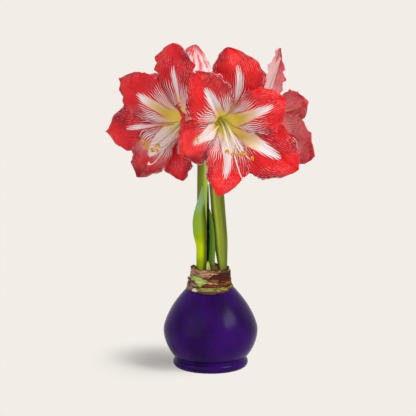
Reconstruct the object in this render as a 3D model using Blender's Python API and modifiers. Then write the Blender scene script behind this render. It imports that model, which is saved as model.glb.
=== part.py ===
"""A waxed amaryllis: a bulb dipped in coloured wax, standing on its own wax foot, with two flower stalks
that carry two flowers each, a third stalk still in bud, and three leaf tips.

Lengths in the constants are millimetres and angles are degrees. MM turns a length into metres.
+Z is up, -Y is the front, and the origin is the middle of the wax foot's flat underside.
"""

import math
from collections import namedtuple

import bmesh
import bpy
import numpy as np
from mathutils import Matrix, Vector

MM = 0.001
GAP = 0.3  # left between two pieces that touch
PARTS = "waxed_amaryllis"

# Wax coat: an onion outline on a beaded foot.
WAX_RADIUS = 55.0
WAX_BELT = 44.0  # height of the widest ring
WAX_RIM = 94.5  # height of the upper edge, where the neck comes out
WAX_WALL = 2.5
BELLY_DROP = 48.8  # vertical half axis of the ellipse below the belt
SHOULDER_DROP = 75.0  # height over which the shoulder would close to a point
SHOULDER_POWER = 1.65
FOOT_RADIUS = 38.3  # to the middle of the foot's bead
FOOT_BEAD = 5.6

# Bulb inside the wax, and the neck that shows above it.
NECK_RADIUS = 19.4
NECK_TOP = 106.0
BASAL_PLATE = 24.0
BULB_FLOOR = 6.0
TURN_STEPS = 32

# Stalks: foot x, y; top x, y; height of the top; radius at the foot and at the top.
Stalk = namedtuple("Stalk", "foot top height foot_radius top_radius")
SCAPES = {
    "left": Stalk((-10.0, 7.5), (-9.0, 9.5), 262.0, 5.9, 6.3),
    "right": Stalk((15.0, -2.0), (2.9, -7.5), 262.0, 4.8, 8.1),
}

# Flower parts.
TUBE_RADIUS = 6.8
TEPAL_THICKNESS = 0.8
TEPAL_CELLS = (6, 8)  # across, along
THROAT_ANGLE = 13.0  # of the tube's wall from the flower's axis
FUNNEL = 54.0  # length of tepal over which the tube opens into the blade
SHARE = 0.82  # most of a turn, in radians, that a tepal takes to each side of its midrib
BASE_OFFSET = 0.8  # of each whorl from the middle surface at the tube
BLADE_OFFSET = 0.8  # what that gains in the blade
INNER, OUTER = 1, -1
RECEPTACLE = 8.4  # radius of the disc that carries one flower
OVARY = ((0.0, 3.0), (0.35, 3.2), (0.55, 4.2), (0.70, 5.9), (0.82, 5.6), (0.90, 5.2), (0.96, 7.2), (1.0, RECEPTACLE))
PEDICEL_SPREAD = 3.4  # of a stalk's two pedicels from its middle
STAMEN_RING = (2.4, 4.6, 1.8)  # inner radius, outer radius, height
HIDDEN_ANTHERS = ((12, -23, 70), (3, -19, 66), (-8, -20, 70), (-14, -22, 64), (-7, -27, 72), (15, -29, 74))
HIDDEN_STIGMA = (4, -42, 80)
FILAMENT_RADIUS = 0.75
ANTHER = (2.7, 1.15)  # half length, half width
STYLE_RADIUS = 0.9

# theta: place round the flower's axis, from its right, anticlockwise as seen from its front.
# open: angle of the blade from the axis. curl: what the tip adds to it. sweep: sideways bend of the
# midrib. twist: turn of the tip about the midrib. wave: height of the ruffles. tip: 0.5 blunt to 0.9 acute.
Tepal = namedtuple("Tepal", "whorl theta length width open curl sweep twist wave phase tip")
# anthers and stigma: places in the flower's own frame, to the right of its axis, above it and along it.
Flower = namedtuple("Flower", "scape base azimuth elevation tepals anthers stigma")

FLOWERS = {
    "a": Flower("left", (-22.0, -9.0, 287.0), -34.0, 4.0, (
        Tepal(OUTER, 82, 104, 57, 66, 25, 5, 0, 2.0, 0.0, 0.62),
        Tepal(INNER, 143, 98, 54, 60, 30, 1, 0, 2.5, 0.3, 0.80),
        Tepal(OUTER, 190, 105, 60, 68, 30, 0, 0, 2.5, 0.6, 0.90),
        Tepal(INNER, 243, 92, 58, 56, 30, 0, 0, 2.5, 0.1, 0.85),
        Tepal(OUTER, 287, 84, 54, 64, 30, 0, 0, 2.0, 0.4, 0.90),
        Tepal(INNER, 10, 84, 46, 28, 10, 0, 0, 2.0, 0.8, 0.90),
    ), ((4, -26, 68), (-4, -24, 75), (-14, -22, 71), (-8, -28, 74), (-1, -31, 72), (6, -31, 74)), (3, -46, 82)),
    "b": Flower("right", (12.0, -36.0, 290.0), 12.0, -4.0, (
        Tepal(OUTER, 69, 104, 64, 66, 25, 24, 0, 1.5, 0.2, 0.70),
        Tepal(INNER, 27, 87, 61, 57, 45, 0, 0, 2.0, 0.5, 0.80),
        Tepal(OUTER, -32, 108, 66, 68, 25, 0, 0, 2.0, 0.7, 0.80),
        Tepal(INNER, -91, 97, 54, 57, 10, -11, 0, 1.5, 0.2, 0.90),
        Tepal(OUTER, -160, 80, 58, 60, 20, 7, 0, 1.5, 0.9, 0.80),
        Tepal(INNER, 126, 106, 62, 50, 15, 0, 0, 2.0, 0.0, 0.80),
    ), ((5, -26, 70), (9, -24, 74), (-3, -25, 72), (-41, -10, 62), (-8, -23, 66), (18, -30, 72)), (6, -50, 84)),
    "c": Flower("right", (36.0, 10.0, 288.0), 120.0, 2.0, (
        Tepal(OUTER, 95, 98, 52, 66, 20, 3, 0, 2.0, 0.1, 1.35),
        Tepal(INNER, 163, 86, 50, 58, 38, 0, 0, 2.0, 0.4, 0.95),
        Tepal(OUTER, 208, 103, 60, 66, 25, 0, 0, 2.0, 0.7, 0.85),
        Tepal(INNER, 272, 92, 50, 50, 15, 0, 0, 2.0, 0.2, 0.85),
        Tepal(OUTER, 335, 92, 56, 58, 15, 0, 0, 2.0, 0.6, 0.85),
        Tepal(INNER, 38, 92, 58, 44, 15, 0, 0, 2.0, 0.9, 0.85),
    ), HIDDEN_ANTHERS, HIDDEN_STIGMA),
    "d": Flower("left", (-20.0, 34.0, 289.0), -162.0, 4.0, (
        Tepal(OUTER, 100, 99, 56, 66, 20, 0, 0, 2.0, 0.3, 0.80),
        Tepal(INNER, 36, 88, 54, 60, 25, 0, 0, 2.0, 0.6, 0.85),
        Tepal(OUTER, -20, 94, 56, 66, 25, 0, 0, 2.0, 0.9, 0.85),
        Tepal(INNER, -80, 92, 50, 58, 20, 0, 0, 2.0, 0.1, 0.85),
        Tepal(OUTER, -140, 92, 56, 56, 15, 0, 0, 2.0, 0.5, 0.85),
        Tepal(INNER, 162, 92, 54, 44, 15, 0, 0, 2.0, 0.8, 0.85),
    ), HIDDEN_ANTHERS, HIDDEN_STIGMA),
}


def smooth(low, high, x):
    """0 below low, 1 above high, and a smooth step between."""
    t = np.clip((np.asarray(x, float) - low) / (high - low), 0, 1)
    return t * t * (3 - 2 * t)


def clear_scene():
    for obj in list(bpy.data.objects):
        bpy.data.objects.remove(obj)


def parts_collection():
    collection = bpy.data.collections.get(PARTS)
    if collection is None:
        collection = bpy.data.collections.new(PARTS)
        bpy.context.scene.collection.children.link(collection)
    return collection


def material(name, colour, roughness):
    """A Principled material, made once for each name."""
    made = bpy.data.materials.get(name)
    if made is None:
        made = bpy.data.materials.new(name)
        made.use_nodes = True
        shader = made.node_tree.nodes["Principled BSDF"]
        shader.inputs["Base Color"].default_value = (*colour, 1)
        shader.inputs["Roughness"].default_value = roughness
    return made


WAX = ("purple_wax", (0.045, 0.008, 0.13), 0.25)
BULB_SKIN = ("bulb_skin", (0.33, 0.36, 0.10), 0.6)
DRY_SKIN = ("dry_skin", (0.30, 0.15, 0.09), 0.8)
STALK_GREEN = ("stalk_green", (0.27, 0.40, 0.06), 0.4)
BUD_GREEN = ("bud_green", (0.40, 0.55, 0.03), 0.4)
LEAF_GREEN = ("leaf_green", (0.10, 0.25, 0.06), 0.4)
BRACT = ("dry_bract", (0.45, 0.33, 0.18), 0.8)
PETAL_RED = ("petal_red", (0.75, 0.03, 0.03), 0.4)
FILAMENT = ("filament", (0.85, 0.80, 0.60), 0.4)


def add(name, data, look):
    """The object for a mesh or a curve, in the parts collection, with its material."""
    obj = bpy.data.objects.new(name, data)
    data.materials.append(material(*look))
    parts_collection().objects.link(obj)
    return obj


# ---- wax and bulb


def wax_radius(z):
    """Outer radius of the wax at height z, over the foot."""
    if z > WAX_BELT:
        return WAX_RADIUS * (1 - ((z - WAX_BELT) / SHOULDER_DROP) ** SHOULDER_POWER)
    return WAX_RADIUS * math.sqrt(1 - ((WAX_BELT - z) / BELLY_DROP) ** 2)


def bulb_radius(z):
    return wax_radius(z) - WAX_WALL


def bead_arc(count):
    """The foot's bead in section, from the waist under the belly round to the underside."""
    waist = math.radians(62)
    angles = (waist - i / count * (waist + math.pi / 2) for i in range(count + 1))
    return [(FOOT_RADIUS + FOOT_BEAD * math.cos(a), FOOT_BEAD * (1 + math.sin(a))) for a in angles]


def turned(name, profile, look):
    """Turns an (x, z) profile, given down its outer side, about Z."""
    mesh = bpy.data.meshes.new(name)
    verts = [(x * MM, 0, z * MM) for x, z in profile]
    mesh.from_pydata(verts, [(i, i + 1) for i in range(len(verts) - 1)], [])
    obj = add(name, mesh, look)
    screw = obj.modifiers.new("turn", "SCREW")
    screw.steps = screw.render_steps = TURN_STEPS
    screw.use_merge_vertices = True
    screw.merge_threshold = 0.00001
    return obj


def make_wax_coat():
    waist = 2 * FOOT_BEAD
    outer = [(wax_radius(z), z) for z in np.linspace(WAX_RIM, waist + 1.2, 11)]
    under = [(0, 0)]
    floor = BULB_FLOOR - GAP
    inner_heights = np.linspace(BULB_FLOOR + 9, WAX_RIM - 0.6, 9)
    inner = [(0, floor), (BASAL_PLATE + GAP, floor)]
    inner += [(bulb_radius(z) + GAP, z) for z in inner_heights]
    return turned("wax_coat", outer + bead_arc(6) + under + inner + outer[:1], WAX)


def make_bulb():
    shoulder = [(bulb_radius(z), z) for z in np.linspace(WAX_RIM - 1, BULB_FLOOR + 9, 9)]
    neck = [(0, NECK_TOP), (NECK_RADIUS - 1, NECK_TOP), (NECK_RADIUS, NECK_TOP - 1), (NECK_RADIUS, WAX_RIM + 1)]
    plate = [(BASAL_PLATE, BULB_FLOOR), (0, BULB_FLOOR)]
    return turned("bulb", neck + shoulder + plate, BULB_SKIN)


# ---- sheets: grids bent by a formula, then given a thickness


def sheet(name, cells, place, thickness, look):
    """A grid of cells whose points go to place(u, v), u from -1 to 1 across and v from 0 to 1 along."""
    mesh = bpy.data.meshes.new(name)
    grid = bmesh.new()
    bmesh.ops.create_grid(grid, x_segments=cells[0], y_segments=cells[1], size=1)
    flat = np.array([vert.co[:] for vert in grid.verts])
    bent = place(flat[:, 0], (flat[:, 1] + 1) / 2) * MM
    for vert, co in zip(grid.verts, bent):
        vert.co = co
    grid.to_mesh(mesh)
    grid.free()
    obj = add(name, mesh, look)
    wall = obj.modifiers.new("thickness", "SOLIDIFY")
    wall.thickness = thickness * MM
    wall.offset = 0
    return obj


# name: middle angle, half angle, radius at the foot and at the top, foot height, top height, edge wave
Scale = namedtuple("Scale", "middle half foot_radius top_radius foot top wave")
SCALE_THICKNESS = 0.6
NECK_SCALES = {
    "neck_scale_low": Scale(-80, 176, 25.2, 24.6, 95.2, 104.5, 1.0),
    "neck_scale_left": Scale(-140, 100, 24.2, 23.4, 96.0, 113.0, 1.6),
    "neck_scale_right": Scale(10, 82, 23.1, 22.2, 96.5, 115.5, 1.2),
    "neck_scale_dry": Scale(-110, 120, 22.0, 21.2, 97.0, 118.5, 1.4),
    "neck_scale_inner": Scale(60, 150, 21.0, 20.3, 97.0, 117.0, 1.0),
}


def make_neck_scale(name, scale):
    """A skin of the bulb wrapped part of the way round the neck, with a wavy upper edge."""

    def place(u, v):
        angle = np.radians(scale.middle + u * scale.half)
        crest = scale.wave * np.sin(5 * angle + scale.foot) * v
        radius = scale.foot_radius + (scale.top_radius - scale.foot_radius) * v
        z = scale.foot + (scale.top - scale.foot) * v + crest
        return np.stack([radius * np.cos(angle), radius * np.sin(angle), z], -1)

    cells = (max(8, round(scale.half / 10)), 2)
    return sheet(name, cells, place, SCALE_THICKNESS, BULB_SKIN if "low" in name else DRY_SKIN)


# ---- stems: curves with a round section


def stem(name, points, radii, look, resolution=4):
    """A rod along points, with a radius at each, and flat ends."""
    curve = bpy.data.curves.new(name, "CURVE")
    curve.dimensions = "3D"
    curve.bevel_depth = MM
    curve.bevel_resolution = resolution
    curve.use_fill_caps = True
    spline = curve.splines.new("POLY")
    spline.points.add(len(points) - 1)
    for knot, place, radius in zip(spline.points, points, radii):
        knot.co = (*(Vector(place) * MM), 1)
        knot.radius = radius
    return add(name, curve, look)


def bezier(p0, p1, p2, p3, count):
    """Points along a cubic with those four control points."""
    t = np.linspace(0, 1, count)[:, None]
    p0, p1, p2, p3 = (np.array(p, float) for p in (p0, p1, p2, p3))
    return (1 - t) ** 3 * p0 + 3 * (1 - t) ** 2 * t * p1 + 3 * (1 - t) * t**2 * p2 + t**3 * p3


def square_ends(points, first, last):
    """The same points with a short step along first at the start and along last at the end, so that the flat
    ends face along them."""
    points = [Vector(point) for point in points]
    return [points[0], points[0] + first, *points[1:-1], points[-1] - last, points[-1]]


def make_scape(side, stalk):
    """A straight scape that reaches its full thickness 50 mm above its foot."""
    foot = Vector((*stalk.foot, NECK_TOP + GAP))
    top = Vector((*stalk.top, stalk.height))
    points = [foot, *(foot.lerp(top, i / 12) for i in range(1, 12)), top]
    points = square_ends(points, Vector((0, 0, 1)), Vector((0, 0, 1)))
    share = smooth(0, 50, np.array([point.z for point in points]) - foot.z)
    radii = stalk.foot_radius + (stalk.top_radius - stalk.foot_radius) * share
    return stem(f"scape_{side}", points, radii, STALK_GREEN, 5)


BUD_FOOT = (-10.8, -9.0)
BUD_JOINT = 142.5  # height where the bud leaves its stalk
BUD_TIP = (-10.0, -10.0, 213.5)
BUD_STALK_RADIUS = 5.7
BUD_OUTLINE = (  # share of the way up, shift to the side, radius
    (0.0, 0.0, 5.7), (0.03, 0.0, 5.9), (0.10, -0.5, 6.8), (0.24, -1.6, 8.3), (0.42, -2.4, 8.4),
    (0.58, -2.1, 6.7), (0.75, -0.9, 4.3), (0.90, 0.2, 2.0), (1.0, 0.6, 0.4),
)


def make_bud():
    foot = Vector((*BUD_FOOT, NECK_TOP + GAP))
    joint = Vector((*BUD_FOOT, BUD_JOINT))
    stem("bud_stalk", [foot, foot.lerp(joint, 0.5), joint], [BUD_STALK_RADIUS] * 3, BUD_GREEN, 5)
    start = joint + Vector((0, 0, GAP))
    points = [start.lerp(Vector(BUD_TIP), share) + Vector((shift, 0, 0)) for share, shift, _ in BUD_OUTLINE]
    stem("bud", points, [radius for _, _, radius in BUD_OUTLINE], BUD_GREEN, 5)


Leaf = namedtuple("Leaf", "foot bend tip width fold facing taper")
LEAVES = {
    "leaf_front": Leaf((-1.9, -11.0), (6.8, -13.0, 138.0), (-1.4, -13.0, 187.5), 7.4, 1.2, -90, 3.2),
    "leaf_back": Leaf((-2.0, 2.5), (-2.8, 4.0, 165.0), (-2.8, 3.0, 214.0), 6.2, 1.0, -115, 1.0),
    "leaf_young": Leaf((3.0, -6.2), (3.2, -6.2, 122.0), (3.2, -6.4, 137.5), 4.4, 0.8, -60, 3.2),
}


def make_leaf(name, leaf):
    """A strap leaf: a bent midrib, a width that narrows to the tip, and a shallow fold along the middle."""
    foot = (*leaf.foot, NECK_TOP + GAP + TEPAL_THICKNESS / 2)
    knots = bezier(foot, foot, leaf.bend, leaf.tip, 40)
    facing = math.radians(leaf.facing)
    front = np.array([math.cos(facing), math.sin(facing), 0])
    across = np.array([-math.sin(facing), math.cos(facing), 0])

    def place(u, v):
        line = np.stack([np.interp(v, np.linspace(0, 1, 40), knots[:, axis]) for axis in range(3)], -1)
        half = leaf.width / 2 * (0.72 + 0.28 * smooth(0, 0.35, v)) * np.sqrt(1 - 0.985 * v**leaf.taper)
        fold = leaf.fold * (np.abs(u) ** 1.5) * half / (leaf.width / 2)
        return line + across * (u * half)[:, None] + front * fold[:, None]

    return sheet(name, (4, 9), place, 1.2, LEAF_GREEN)


# ---- flowers


def flower_axis(flower):
    azimuth, elevation = math.radians(flower.azimuth), math.radians(flower.elevation)
    level = math.cos(elevation)
    return Vector((math.sin(azimuth) * level, -math.cos(azimuth) * level, math.sin(elevation)))


def flower_matrix(flower):
    """Flower frame to world: its +Z is the flower's axis, out of the throat, and its +Y is up."""
    axis = flower_axis(flower)
    up = (Vector((0, 0, 1)) - axis * axis.z).normalized()
    right = up.cross(axis)
    turn = Matrix((right, up, axis)).transposed().to_4x4()
    return Matrix.Translation(Vector(flower.base) * MM) @ turn


def midrib(tepal):
    """Share of the way along, with the radius, the height on the axis and the angle from it there."""
    v = np.linspace(0, 1, 121)
    angle = THROAT_ANGLE + (tepal.open - THROAT_ANGLE) * smooth(2, FUNNEL, v * tepal.length)
    angle = np.radians(angle + tepal.curl * smooth(0.5, 1.15, v))
    step = tepal.length / 120
    radius, height = (
        np.concatenate([[0], np.cumsum((rate[1:] + rate[:-1]) / 2) * step]) for rate in (np.sin(angle), np.cos(angle))
    )
    return v, TUBE_RADIUS + radius, height, angle


def half_width(tepal, v, radius):
    """A share of the tube at the base, then an ovate blade that ends in the tip."""
    blade = v**1.05 * np.clip(1 - v, 0, 1) ** tepal.tip
    peak = 1.05 / (1.05 + tepal.tip)
    blade = blade / (peak**1.05 * (1 - peak) ** tepal.tip)
    spread = smooth(0.0, 0.36, v)
    half = np.maximum(0.6 * radius * (1 - spread) + tepal.width / 2 * blade * spread, 0.7)
    most = SHARE * radius
    return half * most / (half**6 + most**6) ** (1 / 6)


def tepal_place(tepal):
    """The surface of one tepal in its flower's frame. The midrib lies in a plane through the axis, at an angle
    from it that opens along the tepal. Across it, the section is an arc that keeps to the flower's funnel."""
    along, radii, heights, angles = midrib(tepal)

    def place(u, v):
        radius, height, angle = (np.interp(v, along, known) for known in (radii, heights, angles))
        half = half_width(tepal, v, radius)
        bend = np.cos(angle) / radius
        bend = np.where(np.abs(bend) < 1e-4, 1e-4, bend)
        side = np.sin(bend * u * half) / bend
        rise = (1 - np.cos(bend * u * half)) / bend
        rise += tepal.whorl * (BASE_OFFSET + BLADE_OFFSET * smooth(0.08, 0.4, v))
        edge = np.abs(u) ** 2.2 * half / (tepal.width / 2)
        beat = np.sin(2 * np.pi * (2.4 * v + tepal.phase) + 1.3 * np.sign(u))
        far = smooth(0.6, 0.85, v)
        rise += edge * tepal.wave * (tepal.whorl * (0.5 + 0.5 * beat) * (1 - far) + beat * far)
        turn = np.radians(tepal.twist * v**2)
        place_round = np.radians(tepal.theta + tepal.sweep * v**2)
        cos, sin, flat = np.cos(place_round), np.sin(place_round), np.zeros_like(v)
        middle = np.stack([radius * cos, radius * sin, height], -1)
        across = np.stack([-sin, cos, flat], -1)
        normal = np.stack([-np.cos(angle) * cos, -np.cos(angle) * sin, np.sin(angle)], -1)
        x = side * np.cos(turn) - rise * np.sin(turn)
        y = side * np.sin(turn) + rise * np.cos(turn)
        return middle + across * x[:, None] + normal * y[:, None]

    return place


def make_receptacle(key, flower):
    """The green piece under a flower: its own stalk, bending out from the top of the scape, the ovary, and the
    disc that carries the tepals."""
    stalk = SCAPES[flower.scape]
    others = [other for other in FLOWERS.values() if other.scape == flower.scape and other is not flower]
    heading = flower_axis(flower) - flower_axis(others[0])
    heading.z = 0
    start = Vector((*stalk.top, stalk.height + GAP)) + heading.normalized() * PEDICEL_SPREAD
    end = Vector(flower.base)
    reach = (end - start).length
    up, axis = Vector((0, 0, 1)), flower_axis(flower)
    knots = square_ends(bezier(start, start + up * reach * 0.5, end - axis * reach * 0.45, end, 12), up, axis)
    lengths = [0.0, *np.cumsum([(b - a).length for a, b in zip(knots, knots[1:])])]
    radii = np.interp(np.array(lengths) / lengths[-1], *zip(*OVARY))
    return stem(f"flower_{key}_receptacle", knots, radii, STALK_GREEN, 3)


def filament(root, tip, lift):
    """A thread that leaves the flower along its axis, hangs below it and turns up at the end."""
    return bezier(root, root + np.array([0, 2, 0.42 * tip[2]]), tip - np.array([0, lift, 0.22 * tip[2]]), tip, 8)


def make_stamens(key, flower, frame):
    """Six threads on a ring, each with an anther across its end, made one body by Boolean unions."""
    inner, outer, height = STAMEN_RING
    outline = [(inner, GAP), (inner, GAP + height), (outer, GAP + height), (outer, GAP), (inner, GAP)]
    ring = turned(f"flower_{key}_stamens", outline[::-1], FILAMENT)
    ring.modifiers["turn"].steps = ring.modifiers["turn"].render_steps = 12
    ring.parent = frame
    pieces = bpy.data.collections.new(f"stamen_pieces_{key}")
    bpy.context.scene.collection.children.link(pieces)
    for count in range(6):
        angle = math.radians(60 * count + 30)
        middle = (inner + outer) / 2
        root = np.array([middle * math.cos(angle), middle * math.sin(angle), GAP + height / 2])
        tip = np.array(flower.anthers[count], float)
        path = filament(root, tip, 12)
        curve = stem(f"filament_{key}_{count}", path, [FILAMENT_RADIUS] * len(path), FILAMENT, 1)
        thread = bpy.data.objects.new(curve.name, bpy.data.meshes.new_from_object(curve))
        bpy.data.objects.remove(curve)
        anther = bpy.data.meshes.new(f"anther_{key}_{count}")
        ball = bmesh.new()
        bmesh.ops.create_uvsphere(ball, u_segments=6, v_segments=4, radius=MM)
        slant = Matrix.Rotation(math.radians(25 * count), 4, "Z") @ Matrix.Rotation(math.radians(70), 4, "X")
        size = Matrix.Diagonal((ANTHER[1], ANTHER[1], ANTHER[0], 1))
        bmesh.ops.transform(ball, matrix=Matrix.Translation(Vector(tip) * MM) @ slant @ size, verts=ball.verts)
        ball.to_mesh(anther)
        ball.free()
        for piece in (thread, bpy.data.objects.new(anther.name, anther)):
            piece.parent = frame
            piece.hide_render = True
            piece.display_type = "WIRE"
            pieces.objects.link(piece)
    union = ring.modifiers.new("threads", "BOOLEAN")
    union.operation = "UNION"
    union.operand_type = "COLLECTION"
    union.collection = pieces
    union.solver = "EXACT"


def make_style(key, flower, frame):
    """The style runs out through the ring of stamens, below them, to a stigma with a swollen end."""
    path = filament(np.array([0, 0, GAP]), np.array(flower.stigma, float), 6)
    radii = [STYLE_RADIUS] * (len(path) - 2) + [STYLE_RADIUS * 1.3, STYLE_RADIUS * 1.9]
    style = stem(f"flower_{key}_style", path, radii, FILAMENT, 1)
    style.parent = frame


# Bracts: direction round the scape, length, lean outward at the tip
Bract = namedtuple("Bract", "scape heading height reach rise width")
BRACTS = {
    "bract_left_1": Bract("left", 165, 250.5, 15, 34, 13),
    "bract_left_2": Bract("left", 40, 250.5, 12, 38, 12),
    "bract_right_1": Bract("right", -30, 250.5, 14, 30, 14),
    "bract_right_2": Bract("right", 125, 250.5, 3, 30, 11),
}


def make_bract(name, bract):
    """A papery leaf held against the side of a scape's top, that stands up past it and leans away."""
    stalk = SCAPES[bract.scape]
    heading = math.radians(bract.heading)
    out = np.array([math.cos(heading), math.sin(heading), 0])
    across = np.array([-math.sin(heading), math.cos(heading), 0])
    share = (bract.height - NECK_TOP - GAP) / (stalk.height - NECK_TOP - GAP)
    middle = np.array(stalk.foot) * (1 - share) + np.array(stalk.top) * share
    foot = np.array([*middle, bract.height]) + out * (stalk.top_radius + GAP + 0.6)
    top = foot + out * bract.reach + (0, 0, bract.rise)
    below = top - out * 0.1 * bract.reach - (0, 0, 0.4 * bract.rise)
    knots = bezier(foot, foot + (0, 0, 0.45 * bract.rise), below, top, 30)

    def place(u, v):
        line = np.stack([np.interp(v, np.linspace(0, 1, 30), knots[:, axis]) for axis in range(3)], -1)
        half = bract.width / 2 * np.sqrt(1 - 0.96 * v**2)
        angle = u * half / (stalk.top_radius + 1)
        side = (stalk.top_radius + 1) * np.sin(angle)
        back = (stalk.top_radius + 1) * (1 - np.cos(angle))
        return line + across * side[:, None] - out * back[:, None]

    return sheet(name, (4, 5), place, 0.5, BRACT)


def make_tepals(key, flower, frame):
    names = {INNER: "petal", OUTER: "sepal"}
    counts = {INNER: 0, OUTER: 0}
    for tepal in flower.tepals:
        counts[tepal.whorl] += 1
        name = f"flower_{key}_{names[tepal.whorl]}_{counts[tepal.whorl]}"
        place = tepal_place(tepal)
        obj = sheet(name, TEPAL_CELLS, lambda u, v: place(u, v) + (0, 0, GAP), TEPAL_THICKNESS, PETAL_RED)
        obj.parent = frame


def main():
    clear_scene()
    make_wax_coat()
    make_bulb()
    for name, scale in NECK_SCALES.items():
        make_neck_scale(name, scale)
    for side, stalk in SCAPES.items():
        make_scape(side, stalk)
    make_bud()
    for name, leaf in LEAVES.items():
        make_leaf(name, leaf)
    for key, flower in FLOWERS.items():
        frame = bpy.data.objects.new(f"flower_{key}_frame", None)
        parts_collection().objects.link(frame)
        frame.matrix_world = flower_matrix(flower)
        make_receptacle(key, flower)
        make_tepals(key, flower, frame)
        make_stamens(key, flower, frame)
        make_style(key, flower, frame)
    for name, bract in BRACTS.items():
        make_bract(name, bract)


if __name__ == "__main__":
    main()
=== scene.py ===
"""Waxed amaryllis: the finish of a flowering bulb that is dipped in purple wax and stands on its wax foot.

Lengths in the tables are millimetres and angles are degrees, in the part's own frame: +Z is up and -Y is
the front. MM turns a length into metres. In the shapes v runs along a piece from its foot, 0 to 1, and u
runs across it, -1 to 1.
"""

import math
from collections import namedtuple

import bpy
import numpy as np
from bpy.props import FloatProperty, FloatVectorProperty, PointerProperty
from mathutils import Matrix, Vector


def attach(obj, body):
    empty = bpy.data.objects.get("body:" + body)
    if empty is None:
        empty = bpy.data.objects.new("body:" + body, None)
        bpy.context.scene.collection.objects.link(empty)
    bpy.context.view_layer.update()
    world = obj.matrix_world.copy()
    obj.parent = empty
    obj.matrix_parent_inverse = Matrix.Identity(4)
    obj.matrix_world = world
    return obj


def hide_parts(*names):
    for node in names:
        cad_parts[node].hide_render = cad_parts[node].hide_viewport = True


bl_info = {
    "name": "Waxed amaryllis",
    "version": (1, 0, 0),
    "blender": (4, 5, 0),
    "location": "View3D > Sidebar > Amaryllis",
    "description": "Striped amaryllis flowers on a bulb that is dipped in wax",
    "category": "Add Mesh",
}

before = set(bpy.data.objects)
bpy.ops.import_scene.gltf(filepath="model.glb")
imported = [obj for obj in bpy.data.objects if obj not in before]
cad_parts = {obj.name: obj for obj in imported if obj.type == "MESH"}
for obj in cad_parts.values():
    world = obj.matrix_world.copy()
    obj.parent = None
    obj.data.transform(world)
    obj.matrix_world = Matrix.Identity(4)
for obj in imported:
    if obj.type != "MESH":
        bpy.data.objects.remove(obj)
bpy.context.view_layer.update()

MM = 0.001
BODY = "root"
NECK_TOP = 106.0  # the bulb's cut top, which the stalks and leaves stand on
GAP = 0.3  # between a piece and the one that it grows from
POLE_MERGE = 0.002  # vertices this close are one: a closed end is a ring without a radius
BLACK = (0.0, 0.0, 0.0)


# ---- numbers and curves


def smooth(low, high, x):
    """0 below low, 1 above high, and 3t^2 - 2t^3 between."""
    t = np.clip((np.asarray(x, float) - low) / (high - low), 0, 1)
    return t * t * (3 - 2 * t)


def bezier(p0, p1, p2, p3, count):
    """Points along a cubic with those four control points: the sum of each times its Bernstein weight."""
    t = np.linspace(0, 1, count)[:, None]
    p0, p1, p2, p3 = (np.asarray(p, float) for p in (p0, p1, p2, p3))
    return (1 - t) ** 3 * p0 + 3 * (1 - t) ** 2 * t * p1 + 3 * (1 - t) * t**2 * p2 + t**3 * p3


def unit(directions):
    """The same directions with a length of 1."""
    return directions / np.maximum(np.linalg.norm(directions, axis=-1, keepdims=True), 1e-9)


def vectors(*channels):
    """Arrays of numbers as one array of vectors, each stretched to the shape that they share."""
    return np.stack(np.broadcast_arrays(*channels), -1)


def grid(rows, cols):
    """v from 0 to 1 as a column and u from -1 to 1 as a row."""
    return np.linspace(0, 1, rows)[:, None], np.linspace(-1, 1, cols)[None, :]


def full_turn(count):
    """Angles evenly round a circle."""
    return np.linspace(0, 2 * np.pi, count, endpoint=False)


def level_ways(degrees):
    """Two level directions: the one at that angle from +X, and the one a quarter turn further on."""
    angle = math.radians(degrees)
    ahead = np.array([math.cos(angle), math.sin(angle), 0])
    return ahead, np.array([-ahead[1], ahead[0], 0])


def waves(x, y, seed):
    """A smooth uneven value of about -1 to 1: three crossed sine waves whose phases come from seed."""
    a = np.sin(1.7 * x + 0.9 * y + 5.1 * seed)
    b = np.sin(-1.1 * x + 2.3 * y + 9.7 * seed + 1.3)
    c = np.sin(2.9 * x + 1.6 * y + 3.3 * seed + 4.2)
    return (a + b + 0.6 * c) / 2.6


def softened(values, reach):
    """Each value as the mean of those up to reach places from it, with the end ones repeated."""
    width = 2 * reach + 1
    return np.convolve(np.pad(values, reach, "edge"), np.ones(width) / width, "valid")


# ---- meshes

# material: each face's number in the piece's list. marks: a vector at each vertex, for the materials to use
Solid = namedtuple("Solid", "verts faces material marks")


def strips(rows, cols, first=0, round_too=False):
    """Quads between neighbouring points of a grid, as vertex numbers. With round_too the last column joins
    the first."""
    index = np.arange(rows * cols).reshape(rows, cols) + first
    if round_too:
        index = np.concatenate([index, index[:, :1]], 1)
    return np.stack([index[:-1, :-1], index[:-1, 1:], index[1:, 1:], index[1:, :-1]], -1).reshape(-1, 4)


def facing_out(verts, faces):
    """The same faces, all turned round if the volume that they close is negative. The volume is the sum of
    a . (b x c) / 6 over the triangles a, b, c and a, c, d of each face."""
    corners = verts[faces]
    a, b, c, d = (corners[:, i] for i in range(4))
    volume = np.einsum("ij,ij->i", a, np.cross(b, c)).sum() + np.einsum("ij,ij->i", a, np.cross(c, d)).sum()
    return faces if volume > 0 else faces[:, ::-1]


def sheet_solid(front, back, marks, materials=(0, 0)):
    """A thin closed sheet between two grids of points, front and back, with quads round its rim. materials
    are the numbers of the front's and the back's; the rim has the back's."""
    rows, cols = front.shape[:2]
    count = rows * cols
    verts = np.concatenate([front.reshape(-1, 3), back.reshape(-1, 3)])
    index = np.arange(count).reshape(rows, cols)
    rim = np.concatenate([index[0, :-1], index[:-1, -1], index[-1, :0:-1], index[:0:-1, 0]])
    after = np.roll(rim, -1)
    edge = np.stack([rim, rim + count, after + count, after], -1)
    side = strips(rows, cols)
    faces = np.concatenate([side, strips(rows, cols, count)[:, ::-1], edge])
    material = np.repeat([*materials, materials[1]], [len(side), len(side), len(edge)])
    return Solid(verts, facing_out(verts, faces), material, np.concatenate([marks.reshape(-1, 3)] * 2))


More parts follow.
